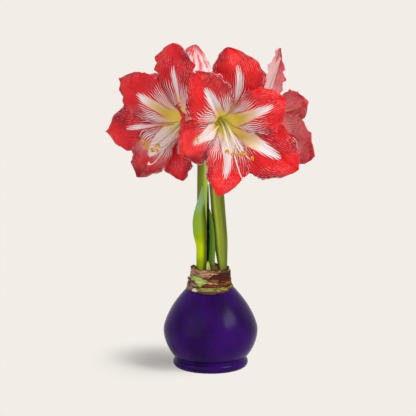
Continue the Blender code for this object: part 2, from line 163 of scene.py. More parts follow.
def ring_solid(rings, marks, material=0):
    """A closed solid of rings of points, one row of the grid each."""
    verts = rings.reshape(-1, 3)
    faces = facing_out(verts, strips(*rings.shape[:2], round_too=True))
    return Solid(verts, faces, np.full(len(faces), material), marks.reshape(-1, 3))


def tube_solid(path, radii, sides, material=0, lobes=None, square_to=(1, 0, 0)):
    """Rings round a path, with closed ends. A ring's point is path + radius * (side cos a + up sin a),
    where side and up are square to the path, and side to square_to too; lobes gives what the radius is
    multiplied by at share v and angle a. The marks are cos a, sin a and v."""
    path = np.asarray(path, float)
    along = unit(np.gradient(path, axis=0))
    side = unit(np.cross(along, np.asarray(square_to, float)))
    up = np.cross(along, side)
    angle = full_turn(sides)[None, :]
    share = np.linspace(0, 1, len(path))[:, None]
    reach = np.asarray(radii, float)[:, None] * (lobes(share, angle) if lobes else np.ones_like(angle))
    spokes = side[:, None] * np.cos(angle)[..., None] + up[:, None] * np.sin(angle)[..., None]
    rings = path[:, None] + reach[..., None] * spokes
    ends = rings[[0, -1]].mean(1, keepdims=True).repeat(sides, 1)
    rings = np.concatenate([ends[:1], rings, ends[1:]])
    share = np.concatenate([share[:1], share, share[-1:]])
    return ring_solid(rings, vectors(np.cos(angle), np.sin(angle), share), material)


def turned_solid(profile, sides, uneven=None):
    """A closed profile of (radius, height) pairs, turned about Z, so that the point at angle a is
    (r cos a, r sin a, z). uneven gives what to add to the radius at each height and angle, less within 10 mm
    of the axis. The marks are cos a, sin a and the height in units of 100 mm."""
    profile = np.asarray(profile, float)
    angle = full_turn(sides)[None, :]
    radius = profile[:, :1] + np.zeros_like(angle)
    height = profile[:, 1:]
    if uneven is not None:
        radius = radius + uneven(height, angle) * np.minimum(profile[:, :1] / 10, 1)
    rings = vectors(radius * np.cos(angle), radius * np.sin(angle), height)
    return ring_solid(rings, vectors(np.cos(angle), np.sin(angle), height / 100))


def joined(solids):
    """Several solids as one, with their vertex numbers moved on."""
    starts = np.cumsum([0] + [len(solid.verts) for solid in solids[:-1]])
    return Solid(
        np.concatenate([solid.verts for solid in solids]),
        np.concatenate([solid.faces + start for solid, start in zip(solids, starts)]),
        np.concatenate([solid.material for solid in solids]),
        np.concatenate([solid.marks for solid in solids]),
    )


def stand(name, data):
    """A new object of that data, in the scene."""
    obj = bpy.data.objects.new(name, data)
    bpy.context.scene.collection.objects.link(obj)
    return obj


def piece(name, solid, materials, replaced=(), style=None):
    """Makes the object of a solid given in millimetres, and puts it in the frame. Its vertices carry marks
    as the attribute "marks" and, where given, style as "style"."""
    mesh = bpy.data.meshes.new(name)
    mesh.from_pydata(solid.verts * MM, [], solid.faces)
    mesh.polygons.foreach_set("material_index", solid.material)
    mesh.polygons.foreach_set("use_smooth", np.ones(len(solid.faces), bool))
    layer = mesh.attributes.new("marks", "FLOAT_VECTOR", "POINT")
    layer.data.foreach_set("vector", np.ascontiguousarray(solid.marks, np.float32).ravel())
    if style is not None:
        layer = mesh.attributes.new("style", "FLOAT_COLOR", "POINT")
        layer.data.foreach_set("color", np.ascontiguousarray(style, np.float32).ravel())
    mesh.validate()
    obj = stand(name, mesh)
    for material in materials:
        mesh.materials.append(material)
    weld = obj.modifiers.new("closed poles", "WELD")
    weld.merge_threshold = POLE_MERGE * MM
    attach(obj, BODY)
    if replaced:
        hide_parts(*replaced)


# ---- material nodes


class Value:
    """A node's output in a formula. Its operators and the functions below add nodes to the same tree, so
    that a pattern is written as the formula that it is. The other value may be a number."""

    def __init__(self, socket):
        self.socket = socket
        self.tree = socket.id_data

    def __add__(self, other):
        return calculated("ADD", self, other)

    def __sub__(self, other):
        return calculated("SUBTRACT", self, other)

    def __rsub__(self, other):
        return calculated("SUBTRACT", other, self)

    def __mul__(self, other):
        return calculated("MULTIPLY", self, other)

    def __truediv__(self, other):
        return calculated("DIVIDE", self, other)

    def __pow__(self, power):
        return calculated("POWER", self, power)

    def __abs__(self):
        return calculated("ABSOLUTE", self)

    __radd__ = __add__
    __rmul__ = __mul__


def fill(socket, value):
    """Joins a Value to a socket, or sets the socket to a number, a vector or a colour of three channels."""
    if isinstance(value, Value):
        value.tree.links.new(value.socket, socket)
    elif socket.type == "RGBA":
        socket.default_value = (*value, 1.0)
    else:
        socket.default_value = value


def add_node(tree, kind, inputs=(), **settings):
    """A new node with those settings. inputs gives what fills its sockets, by their names or numbers."""
    node = tree.nodes.new(kind)
    for name, value in settings.items():
        setattr(node, name, value)
    for key, value in dict(inputs).items():
        fill(node.inputs[key], value)
    return node


def output_of(tree, kind, inputs=(), output=0, **settings):
    """One output of a new node, by its name or number."""
    return Value(add_node(tree, kind, inputs, **settings).outputs[output])


def tree_of(*values):
    """The node tree that these belong to, of which at least one is a Value."""
    return next(value.tree for value in values if isinstance(value, Value))


def calculated(operation, *values):
    """The result of a math node."""
    return output_of(tree_of(*values), "ShaderNodeMath", enumerate(values), operation=operation)


def larger(a, b):
    """The larger of two numbers."""
    return calculated("MAXIMUM", a, b)


def step(low, high, value):
    """0 at low, 1 at high, smooth between."""
    inputs = {"Value": value, "From Min": low, "From Max": high}
    return output_of(value.tree, "ShaderNodeMapRange", inputs, interpolation_type="SMOOTHSTEP")


def mix(share, a, b):
    """Colour a, which goes over to b as share goes from 0 to 1."""
    sockets = {0: share, 6: a, 7: b}  # the factor and the two colours
    return output_of(tree_of(share, a, b), "ShaderNodeMix", sockets, 2, data_type="RGBA")


def noise(place, scale, detail=3.0, roughness=0.5, distortion=0.0):
    """A cloudy value round 0.5, with scale clouds to the unit of place."""
    inputs = {"Vector": place, "Scale": scale, "Detail": detail, "Roughness": roughness}
    return output_of(place.tree, "ShaderNodeTexNoise", inputs | {"Distortion": distortion}, "Fac")


def split(vector):
    """The three numbers of a vector."""
    return [Value(output) for output in add_node(vector.tree, "ShaderNodeSeparateXYZ", {0: vector}).outputs]


def join(x, y, z=0.0):
    """The vector of three numbers."""
    return output_of(tree_of(x, y, z), "ShaderNodeCombineXYZ", enumerate((x, y, z)))


def stretched(vector, scale):
    """A vector, times scale on each axis."""
    return output_of(vector.tree, "ShaderNodeMapping", {"Vector": vector, "Scale": scale})


def placed(group, tree, **values):
    """A node group, placed in a tree with those values. Returns its outputs by name."""
    inputs = {name.replace("_", " "): value for name, value in values.items()}
    node = add_node(tree, "ShaderNodeGroup", inputs, node_tree=group)
    return {output.name: Value(output) for output in node.outputs}


def new_group(name, inputs, outputs):
    """An empty shader group with inputs as (name, type, default) and outputs that are numbers. Returns its
    tree, its inputs as Values by name, and the sockets of its outputs."""
    tree = bpy.data.node_groups.new(name, "ShaderNodeTree")
    for socket_name, kind, default in inputs:
        socket = tree.interface.new_socket(socket_name, in_out="INPUT", socket_type=f"NodeSocket{kind}")
        if default is not None:
            socket.default_value = default
    for socket_name in outputs:
        tree.interface.new_socket(socket_name, in_out="OUTPUT", socket_type="NodeSocketFloat")
    given = {socket.name: Value(socket) for socket in add_node(tree, "NodeGroupInput").outputs}
    return tree, given, add_node(tree, "NodeGroupOutput").inputs


def seen_by_camera(tree):
    """1 for rays from the camera and those that gloss or glass sends on, 0 for light that spreads."""
    path = add_node(tree, "ShaderNodeLightPath").outputs
    shone = larger(Value(path["Is Glossy Ray"]), Value(path["Is Transmission Ray"]))
    return larger(Value(path["Is Camera Ray"]), shone)


def mixed_shader(share, first, second, target):
    """Sends the mix of two shaders to a target socket: the first, which goes over to the second as share
    goes from 0 to 1."""
    inputs = {0: share, 1: Value(first.outputs[0]), 2: Value(second.outputs[0])}
    fill(target, output_of(share.tree, "ShaderNodeMixShader", inputs))


class Finish:
    """A Principled material while its nodes are laid. Values that are the same all over stay on the
    shader's own sockets."""

    def __init__(self, name, colour, roughness, specular):
        self.material = bpy.data.materials.new(name)
        self.material.use_nodes = True
        self.tree = self.material.node_tree
        self.shader = self.tree.nodes["Principled BSDF"]
        self.put("Base Color", colour)
        self.put("Roughness", roughness)
        self.put("Specular IOR Level", specular)

    def put(self, name, value):
        """Fills one of the shader's sockets."""
        fill(self.shader.inputs[name], value)

    def place(self):
        """The point in the object's own coordinates, in metres."""
        return output_of(self.tree, "ShaderNodeTexCoord", output="Object")

    def facing(self):
        """How far the surface faces +X, from -1 to 1."""
        return split(output_of(self.tree, "ShaderNodeNewGeometry", output="Normal"))[0]

    def attribute(self, name, output="Vector"):
        """What the piece's vertices carry by that name."""
        return output_of(self.tree, "ShaderNodeAttribute", output=output, attribute_name=name)

    def relief(self, height, strength, depth):
        """Lets the light fall as if the surface were raised by height times depth, in metres."""
        inputs = {"Height": height, "Strength": strength, "Distance": depth}
        self.put("Normal", output_of(self.tree, "ShaderNodeBump", inputs))

    def painted_glow(self, colour, strength):
        """A painted glow: gives off light of that colour, standing in for the light that thin tissue lets
        through from behind.
        """
        self.put("Emission Color", colour)
        self.put("Emission Strength", strength)


def colour_property(name, description, default):
    """A colour that the panel shows."""
    return FloatVectorProperty(
        name=name, description=description, subtype="COLOR", size=3, min=0, max=1, default=default
    )


def fibre_group():
    """Fine lines that run up a grown skin. Streaks is noise that is stretched to be long upwards, 0 to 1,
    and Blotch is a slower patchy value."""
    made = bpy.data.node_groups.get("plant fibres")
    if made:
        return made
    sockets = [("Vector", "Vector", None), ("Blotch Size", "Float", 60.0)]
    tree, given, result = new_group("plant fibres", sockets, ["Streaks", "Blotch"])
    fine = noise(stretched(given["Vector"], (900, 900, 45)), 1.0, 4.0, 0.6)
    slow = noise(given["Vector"], given["Blotch Size"], 2.0)
    fill(result["Streaks"], step(0.3, 0.7, fine))
    fill(result["Blotch"], step(0.3, 0.7, slow))
    return tree


# ---- wax coat


class AmaryllisWax(bpy.types.PropertyGroup):
    colour: colour_property("Wax", "Colour of the wax coat", (0.024, 0.0022, 0.086))
    roughness: FloatProperty(
        name="Roughness", description="How soft the shine of the wax is", subtype="FACTOR", min=0, max=1,
        default=0.26,
    )
    swell: FloatProperty(
        name="Swell", description="Depth of the dip's slow swells, in mm", min=0, max=2, default=0.35
    )


WAX_RADIUS = 55.0
WAX_BELT = 44.0  # height of the widest ring
WAX_RIM = 94.5
BELLY_DROP = 48.8  # how far under the belt the belly's ellipse would close
SHOULDER_DROP = 75.0  # how far over the belt the shoulder would close
SHOULDER_POWER = 1.65
FOOT_RADIUS = 38.3
FOOT_BEAD = 5.6
FOOT_WAIST = 62  # the angle on the foot's bead at which the belly meets it
MOUTH_RADIUS = 22.9
MOUTH_DEPTH = 4.0
LIP = ((0.4, -1.3), (1.5, -0.2), (2.4, 0.25))  # (out from the mouth, up from the rim)


def wax_radius(z):
    """Outer radius of the coat at a height: an ellipse below the belt, R sqrt(1 - (d / belly)^2), and
    R (1 - (d / shoulder)^power) above it, where d is the distance from the belt."""
    belly = np.sqrt(np.maximum(1 - ((WAX_BELT - z) / BELLY_DROP) ** 2, 0))
    shoulder = 1 - np.clip((z - WAX_BELT) / SHOULDER_DROP, 0, 1) ** SHOULDER_POWER
    return WAX_RADIUS * np.where(z > WAX_BELT, shoulder, belly)


def wax_profile():
    """The coat's outline: from the middle of the closed mouth over the lip, down the outside, and round the
    foot's bead, an arc, to the middle of the foot."""
    mouth = [[0.0, WAX_RIM - MOUTH_DEPTH], [MOUTH_RADIUS, WAX_RIM - MOUTH_DEPTH]]
    lip = [[MOUTH_RADIUS + out, WAX_RIM + up] for out, up in LIP]
    height = np.linspace(WAX_RIM, 2 * FOOT_BEAD + 1.2, 60)
    angle = np.linspace(math.radians(FOOT_WAIST), -math.pi / 2, 26)
    bead = vectors(FOOT_RADIUS + FOOT_BEAD * np.cos(angle), FOOT_BEAD * (1 + np.sin(angle)))
    return np.concatenate([mouth, lip, vectors(wax_radius(height), height), bead, [[0.0, 0.0]]])


def wax_material(settings):
    """Dipped wax: a deep colour that is a little cloudy, with shallow ripples left by the dip."""
    wax = Finish("purple wax", settings.colour, settings.roughness, 0.06)
    place = wax.place()
    deep, light = ([channel * share for channel in settings.colour] for share in (0.55, 1.35))
    wax.put("Base Color", mix(step(0.32, 0.68, noise(place, 22.0, 3.0, 0.55)), deep, light))
    speck = noise(place, 260.0, 2.0)
    wax.put("Roughness", speck * 0.14 + (settings.roughness - 0.07))
    ripple = noise(stretched(place, (1.0, 1.0, 0.55)), 55.0, 2.0)
    wax.relief(ripple + speck * 0.05, 0.35, 0.0012)
    return wax.material


class AMARYLLIS_OT_wax(bpy.types.Operator):
    """The wax coat over the bulb, turned from its outline, with the slight swells of a hand-dipped piece"""

    bl_idname = "amaryllis.wax"
    bl_label = "Wax coat"

    def execute(self, context):
        settings = context.scene.amaryllis_wax

        def swell(height, angle):
            """Uneven thickness of the dip: slow waves round and up, none at the flat foot and the rim."""
            lift = smooth(3, 20, height) * (1 - smooth(WAX_RIM - 12, WAX_RIM, height))
            return settings.swell * waves(3 * np.cos(angle), 3 * np.sin(angle) + height / 16, 0.4) * lift

        coat = turned_solid(wax_profile(), 128, swell)
        piece("wax_coat_dipped", coat, [wax_material(settings)], ("wax_coat",))
        return {"FINISHED"}


# ---- leaves

# foot: x and y on the neck's top. bend and tip: the last control points of the midrib. width and fold:
# across it, and how deep. facing: where the front looks. taper: the power with which it narrows to the tip.
Leaf = namedtuple("Leaf", "foot bend tip width fold facing taper")
LEAVES = {
    "leaf_front": Leaf((-1.9, -11.0), (6.8, -13.0, 138.0), (-1.4, -13.0, 187.5), 7.4, 1.2, -90, 3.2),
    "leaf_back": Leaf((-2.0, 2.5), (-2.8, 4.0, 165.0), (-2.8, 3.0, 214.0), 6.2, 1.0, -115, 1.0),
    "leaf_young": Leaf((3.0, -6.2), (3.2, -6.2, 122.0), (3.2, -6.4, 137.5), 4.4, 0.8, -60, 3.2),
}
NECK_TIP = Leaf((-2.9, -15.9), (-2.9, -16.4, 118.0), (-3.0, -16.6, 127.5), 9.0, 1.2, -90, 0.9)
LEAF_WALL = 1.2


def leaf_solid(leaf, rows=60, cols=25):
    """A strap leaf: a midrib that is a cubic, and a shallow fold along the middle, |u|^1.5 of its depth.
    Its width grows from a half at the foot to the whole, and narrows to the tip as sqrt(1 - v^taper)."""
    foot = (*leaf.foot, NECK_TOP + 0.7)
    line = bezier(foot, foot, leaf.bend, leaf.tip, rows)[:, None]
    v, u = grid(rows, cols)
    front, across = level_ways(leaf.facing)
    half = leaf.width / 2 * (0.50 + 0.50 * smooth(0, 0.42, v)) * np.sqrt(1 - 0.985 * v**leaf.taper)
    fold = leaf.fold * np.abs(u) ** 1.5 * half / (leaf.width / 2)
    middle = line + across * (u * half)[..., None] + front * fold[..., None]
    wall = LEAF_WALL * (1 - 0.6 * np.abs(u) ** 3) * (1 - 0.5 * v)
    out = front * (wall / 2)[..., None]
    return sheet_solid(middle + out, middle - out, vectors(u, v, 0.0))


def leaf_material(name, deep, pale):
    """Deep green with fine parallel veins, and paler along one side."""
    leaf = Finish(name, deep, 0.42, 0.06)
    u, v, _ = split(leaf.attribute("marks"))
    lines = noise(join(u * 16.0, v * 3.0), 1.0)
    colour = mix(step(0.35, 0.65, lines), deep, [1.7 * channel for channel in deep])
    leaf.put("Base Color", mix(step(-0.3, 0.4, u), colour, pale))
    leaf.relief(lines, 0.5, 0.0003)
    return leaf.material


class AMARYLLIS_OT_leaves(bpy.types.Operator):
    """The three leaves between the stalks"""

    bl_idname = "amaryllis.leaves"
    bl_label = "Leaves"

    def execute(self, context):
        green = leaf_material("leaf", (0.040, 0.100, 0.004), (0.13, 0.23, 0.030))
        # painted shade: a near-black copy of the leaf material, for the leaf in shadow at the back
        dark = leaf_material("shaded leaf", (0.012, 0.022, 0.002), (0.030, 0.050, 0.006))
        for name, leaf in LEAVES.items():
            material = dark if name == "leaf_back" else green
            piece(f"{name}_blade", leaf_solid(leaf), [material], (name,))
        return {"FINISHED"}


# ---- bulb, its neck and the skins round it

NECK_RADIUS = 19.4
BULB_FOOT = 8.0
BULB_SHOULDER = 88.0
WAX_DEPTH = 3.2  # from the wax's outside to the bulb
SKIN_THICKNESS = 0.5
COLLAR_FOOT = 104.0
COLLAR_TOP = 122.0
COLLAR_RADIUS = 7.8
COLLAR_PLACE = (2.2, -9.0)
# top and bottom: the upper and lower edge, as (angle, height). radii: at the lower edge (0: on the wax) and
# at the upper one. tear and wrinkle: depth of the torn edge's waves and of the creases.
Skin = namedtuple("Skin", "top bottom radii tear wrinkle seed look slot replaced")
SKINS = {
    "neck_skin_inner": Skin(
        ((-200, 116), (-100, 117), (-60, 117.5), (0, 116), (80, 118), (120, 116), (160, 116)),
        ((-200, 96), (160, 96)), (21.0, 20.6), 1.0, 0.25, 0.3, "brown", "dry_skin", ("neck_scale_inner",),
    ),
    "neck_skin_green": Skin(
        ((-205, 111), (-110, 111), (-100, 108), (-88, 105.6)),
        (
            (-205, 100), (-145, 102.6), (-135, 101.4), (-127, 98.6), (-119, 97.4), (-112, 99.4),
            (-104, 102), (-88, 104),
        ),
        (24.6, 22.4), 0.5, 0.25, 0.7, "pale", "bulb_tissue", ("neck_scale_left",),
    ),
    "neck_skin_red": Skin(
        ((-112, 109), (-100, 110.5), (-88, 113.6), (-70, 114.6), (30, 113.0)),
        (
            (-112, 107.6), (-102, 107.0), (-94, 105.4), (-86, 104.0), (-78, 101), (-70, 98.6), (-40, 97.6),
            (30, 97.4),
        ),
        (24.6, 22.6), 0.5, 0.4, 1.1, "russet", "dry_skin", ("neck_scale_right",),
    ),
    "neck_skin_tan": Skin(
        (
            (-218, 117), (-180, 118.4), (-158, 118.2), (-151, 120.0), (-144, 120.3), (-135, 118.4),
            (-124, 117.7), (-110, 118.3), (-104, 118.9), (-95, 116.9), (-83, 116.8), (-70, 116.6),
            (-61, 117.0),
        ),
        (
            (-218, 104), (-170, 108.0), (-145, 110), (-119, 109), (-108, 107.4), (-98, 106.8), (-92, 109.2),
            (-83, 112.0), (-70, 112.6), (-61, 114.4),
        ),
        (23.8, 22.4), 0.8, 0.6, 1.5, "tan", "dry_skin", ("neck_scale_dry",),
    ),
    "neck_skin_sheath": Skin(
        ((-70, 116.4), (-47, 115.9), (-28, 115.8), (-18, 118.6), (0, 117), (60, 117.5), (130, 117)),
        ((-70, 111.2), (-47, 109.4), (-28, 109.4), (0, 109), (60, 108), (130, 106)),
        (22.6, 21.3), 0.4, 0.2, 1.9, "olive", "dry_skin", (),
    ),
    "neck_skin_low": Skin(
        (
            (-262, 98), (-200, 97), (-122, 98), (-107, 98.6), (-78, 97.8), (-48, 97.6), (-27, 97), (60, 98),
            (97, 98),
        ),
        (
            (-262, 94.5), (-205, 94.8), (-160, 93.6), (-131, 92.6), (-116, 92.0), (-98, 90.9), (-84, 91.2),
            (-60, 92.0), (-45, 93.0), (-30, 94.6), (0, 95.4), (97, 94.5),
        ),
        (0, 24.6), 0.9, 0.4, 2.3, "fleshy", "bulb_tissue", ("neck_scale_low",),
    ),
    "neck_skin_left": Skin(
        ((-222, 103), (-190, 104.5), (-170, 105.5), (-152, 104), (-142, 103.4), (-130, 101), (-123, 97)),
        ((-222, 93), (-190, 92.5), (-159, 91.3), (-142, 91), (-131, 91.3), (-123, 94)),
        (28.0, 25.2), 2.0, 0.9, 2.7, "grey", "dry_skin", (),
    ),
    "neck_skin_cream": Skin(
        ((-139, 94.8), (-134, 96.4), (-127, 96.2), (-122, 94.2)), ((-139, 93.4), (-130, 92), (-122, 93)),
        (28.9, 27.6), 0.8, 0.3, 3.7, "cream", "bulb_tissue", (),
    ),
    "neck_skin_bit": Skin(
        ((-101, 104.4), (-92, 105.2), (-80, 104.4), (-72, 102.6)),
        ((-101, 102.6), (-92, 101.4), (-72, 101)),
        (25.0, 24.2), 0.4, 0.3, 4.1, "tan", "dry_skin", (),
    ),
    "neck_skin_rust": Skin(
        ((-112, 100.4), (-104, 101.7), (-88, 101.2), (-64, 100.4)),
        ((-112, 99.8), (-104, 98.2), (-64, 97.4)),
        (25.6, 24.7), 0.4, 0.3, 4.7, "rust", "dry_skin", (),
    ),
    "neck_skin_right": Skin(
        ((-34, 104), (-30, 110), (-22, 112), (-14, 109), (-4, 107), (10, 105)),
        ((-34, 99), (-28, 93.6), (-8, 93.8), (10, 94)),
        (24.9, 22.2), 1.2, 0.5, 3.1, "rind", "dry_skin", (),
    ),
}
# main: the colour. patch: that of the patches, share: how much they cover, slope: how much more of them is
# low down. edge: colour of the painted shade in the creases, and of the specks and edges. hem and rim: the
# share of the height that is edge, below and above.
SkinLook = namedtuple("SkinLook", "main patch share slope edge hem rim")
SKIN_LOOKS = {
    "fleshy": SkinLook(
        (0.27, 0.33, 0.070), (0.17, 0.13, 0.034), 0.52, 0.2,
        (0.105, 0.030, 0.008), 0.34, 0.10,
    ),
    "grey": SkinLook(
        (0.42, 0.27, 0.20), (0.035, 0.010, 0.012), 0.50, 0.0,
        (0.055, 0.022, 0.018), 0.06, 0.10,
    ),
    "cream": SkinLook(
        (0.62, 0.60, 0.38), (0.42, 0.36, 0.22), 0.30, 0.0,
        (0.20, 0.12, 0.07), 0.08, 0.08,
    ),
    "pale": SkinLook(
        (0.47, 0.63, 0.15), (0.33, 0.42, 0.10), 0.45, 0.0,
        (0.24, 0.17, 0.06), 0.05, 0.05,
    ),
    "russet": SkinLook(
        (0.050, 0.008, 0.006), (0.30, 0.105, 0.020), 0.36, 0.62,
        (0.055, 0.013, 0.004), 0.14, 0.06,
    ),
    "rust": SkinLook(
        (0.22, 0.040, 0.010), (0.11, 0.040, 0.012), 0.45, 0.0,
        (0.055, 0.014, 0.005), 0.16, 0.10,
    ),
    "tan": SkinLook(
        (0.50, 0.27, 0.165), (0.24, 0.115, 0.070), 0.46, 0.0,
        (0.075, 0.028, 0.014), 0.10, 0.09,
    ),
    "olive": SkinLook(
        (0.28, 0.29, 0.055), (0.20, 0.17, 0.035), 0.40, 0.0,
        (0.10, 0.035, 0.008), 0.07, 0.26,
    ),
    "rind": SkinLook(
        (0.22, 0.18, 0.060), (0.045, 0.016, 0.008), 0.55, 0.0,
        (0.030, 0.011, 0.006), 0.06, 0.10,
    ),
    "brown": SkinLook(
        (0.20, 0.13, 0.075), (0.08, 0.045, 0.025), 0.50, 0.0,
        (0.05, 0.025, 0.014), 0.05, 0.10,
    ),
}


def skin_solid(skin, rows=34, cols=170):
    """A skin wrapped part of the way round the neck, between a lower and an upper edge that are given at
    some angles. Its radius runs from the lower to the upper one. The edges are torn by waves and spikes in
    the height, the creases that run round it are waves in the radius with height, and the upper edge curls
    out. The marks are centimetres round, v, and centimetres up."""
    v = np.linspace(0, 1, rows)[:, None]
    turn = np.linspace(skin.top[0][0], skin.top[-1][0], cols)[None, :]
    angle = np.radians(turn)
    low, high = (np.interp(turn, *zip(*edge)) for edge in (skin.bottom, skin.top))
    rag = waves(6 * angle, 0, skin.seed) + 0.7 * waves(19 * angle, 0, skin.seed + 2)
    spike = waves(29 * angle, 0, skin.seed + 5) ** 2
    high = high + skin.tear * (0.6 * rag + spike)
    low = low + 0.5 * skin.tear * waves(11 * angle, 0, skin.seed + 4)
    height = low + np.maximum(high - low, 1) * v
    crease = waves(5 * angle, 1.1 * height, skin.seed) + 0.6 * waves(9 * angle, 2.3 * height, skin.seed + 3)
    curl = (0.5 + 0.5 * waves(8 * angle, 0, skin.seed + 1)) * smooth(0.72, 1.0, v) ** 2
    foot = skin.radii[0] or wax_radius(low) + 0.7
    radius = foot + (skin.radii[1] - foot) * v**0.8 + skin.wrinkle * crease + 1.1 * curl
    wall = SKIN_THICKNESS * (1 - 0.4 * v)
    front, back = (
        vectors(r * np.cos(angle), r * np.sin(angle), height) for r in (radius + wall / 2, radius - wall / 2)
    )
    return sheet_solid(front, back, vectors(angle * 2.4 + skin.seed, v, height / 10))


def skin_material(name):
    """Dry or fleshy bulb skin: patches of a second colour, creases that run round the neck with a painted
    highlight on one side and painted shade on the other, dark specks, and dark, ragged edges."""
    look = SKIN_LOOKS[name]
    skin = Finish(f"bulb skin {name}", look.main, 0.6, 0.08)
    around, share_up, up = split(skin.attribute("marks"))
    flat = join(around, up * 2.6)
    clouds = (0.5 - share_up) * look.slope + noise(flat, 1.1, 4.0, 0.6, 0.5)
    colour = mix(step(0.92 - look.share, 1.08 - look.share, clouds), look.main, look.patch)
    creases = noise(join(around * 0.8, up * 9.0), 1.0, 4.0, 0.6)
    # painted highlight on one side of each crease
    light = [min(channel * 1.5 + 0.03, 1.0) for channel in look.main]
    colour = mix(step(0.50, 0.66, creases) * 0.6, colour, light)
    # painted shade on the other side of each crease
    colour = mix(step(0.50, 0.38, creases) * 0.85, colour, look.edge)
    specks = noise(flat, 7.0, 3.0, 0.6)
    colour = mix(step(0.56, 0.68, specks) * 0.6, colour, look.edge)
    ragged = (specks - 0.5) * 0.3 + share_up
    top = step(0.95 - look.rim, 1.01 - look.rim, ragged)
    bottom = step(0.05 + look.hem, look.hem - 0.04, ragged)
    skin.put("Base Color", mix(larger(top, bottom) * 0.85, colour, look.edge))
    skin.relief(creases * 1.2 + specks * 0.4, 0.8, 0.0009)
    return skin.material


def bulb_solid():
    """The bulb inside the wax, which keeps its distance from the wax's outside, and its neck. The cut top
    has the rings of its scales: its height is the neck's, plus a small sine of the radius."""
    height = np.linspace(BULB_FOOT, BULB_SHOULDER, 40)
    body = vectors(np.maximum(wax_radius(height) - WAX_DEPTH, NECK_RADIUS), height)
    neck = [[NECK_RADIUS, 92.0], [NECK_RADIUS, NECK_TOP - 1]]
    radius = np.linspace(NECK_RADIUS - 0.8, 0, 60)
    top = vectors(radius, NECK_TOP + 0.5 * np.sin(2.2 * radius) - 0.4)
    return turned_solid(np.concatenate([[[0.0, BULB_FOOT]], body, neck, top]), 96)


def collar_solid():
    """The brown sheath round the foot of the leaves: a short tube that narrows upward, with rings round it,
    which are a sine of the height, and an open top that is higher on its left. It is slightly flat from
    front to back."""
    height = np.linspace(COLLAR_FOOT, COLLAR_TOP, 36)
    outside = COLLAR_RADIUS - 2.8 * smooth(115, 122.5, height) + 0.30 * np.sin(2.9 * height)
    inside = vectors(outside - 1.0, height)[:15:-1]
    profile = [[[0.0, COLLAR_FOOT]], vectors(outside, height), inside, [[0.0, 111.0]]]
    solid = turned_solid(np.concatenate(profile), 60)
    x, y, z = solid.verts.T
    z = z - 0.25 * x * smooth(114, COLLAR_TOP, z)
    return solid._replace(verts=vectors(x + COLLAR_PLACE[0], 0.85 * y + COLLAR_PLACE[1], z))


class AMARYLLIS_OT_neck(bpy.types.Operator):
    """The bulb, the torn skins round its neck, and the collar and the new leaf's tip on its cut top"""

    bl_idname = "amaryllis.neck"
    bl_label = "Bulb neck"

    def execute(self, context):
        looks = {name: skin_material(name) for name in SKIN_LOOKS}
        for name, skin in SKINS.items():
            piece(name, skin_solid(skin), [looks[skin.look]], skin.replaced)
        piece("bulb_flesh", bulb_solid(), [looks["brown"]], ("bulb",))
        piece("leaf_collar", collar_solid(), [looks["olive"]])
        piece("neck_tip", leaf_solid(NECK_TIP, 24, 13), [looks["pale"]])
        return {"FINISHED"}


# ---- flowers

INNER, OUTER = 1, -1
TUBE_RADIUS = 6.8  # of the ring that the tepals start from
THROAT_ANGLE = 13.0  # at which they leave it, from the flower's axis
FUNNEL = (2.0, 54.0)  # from where to where along them they open to their blade's angle
BASE_WIDTH = 0.6  # half width at the base, as a share of the radius there
WIDEST = 0.82  # half width that no place passes, as a share of the radius there
BASE_OFFSET = 0.8  # of a whorl from the flower's own funnel, at the base
BLADE_OFFSET = 0.8  # more of it along the blade
MIDRIB_STEPS = 240
# theta: place round the flower. open and curl: angle of the blade from the axis, and what its end adds.
# sweep: how far the end leans round the flower. wave: depth of the slow ruffle. phase: of its waves. tip: 1
# is a pointed end, less a blunt one.
Tepal = namedtuple("Tepal", "whorl theta length width open curl sweep wave phase tip")
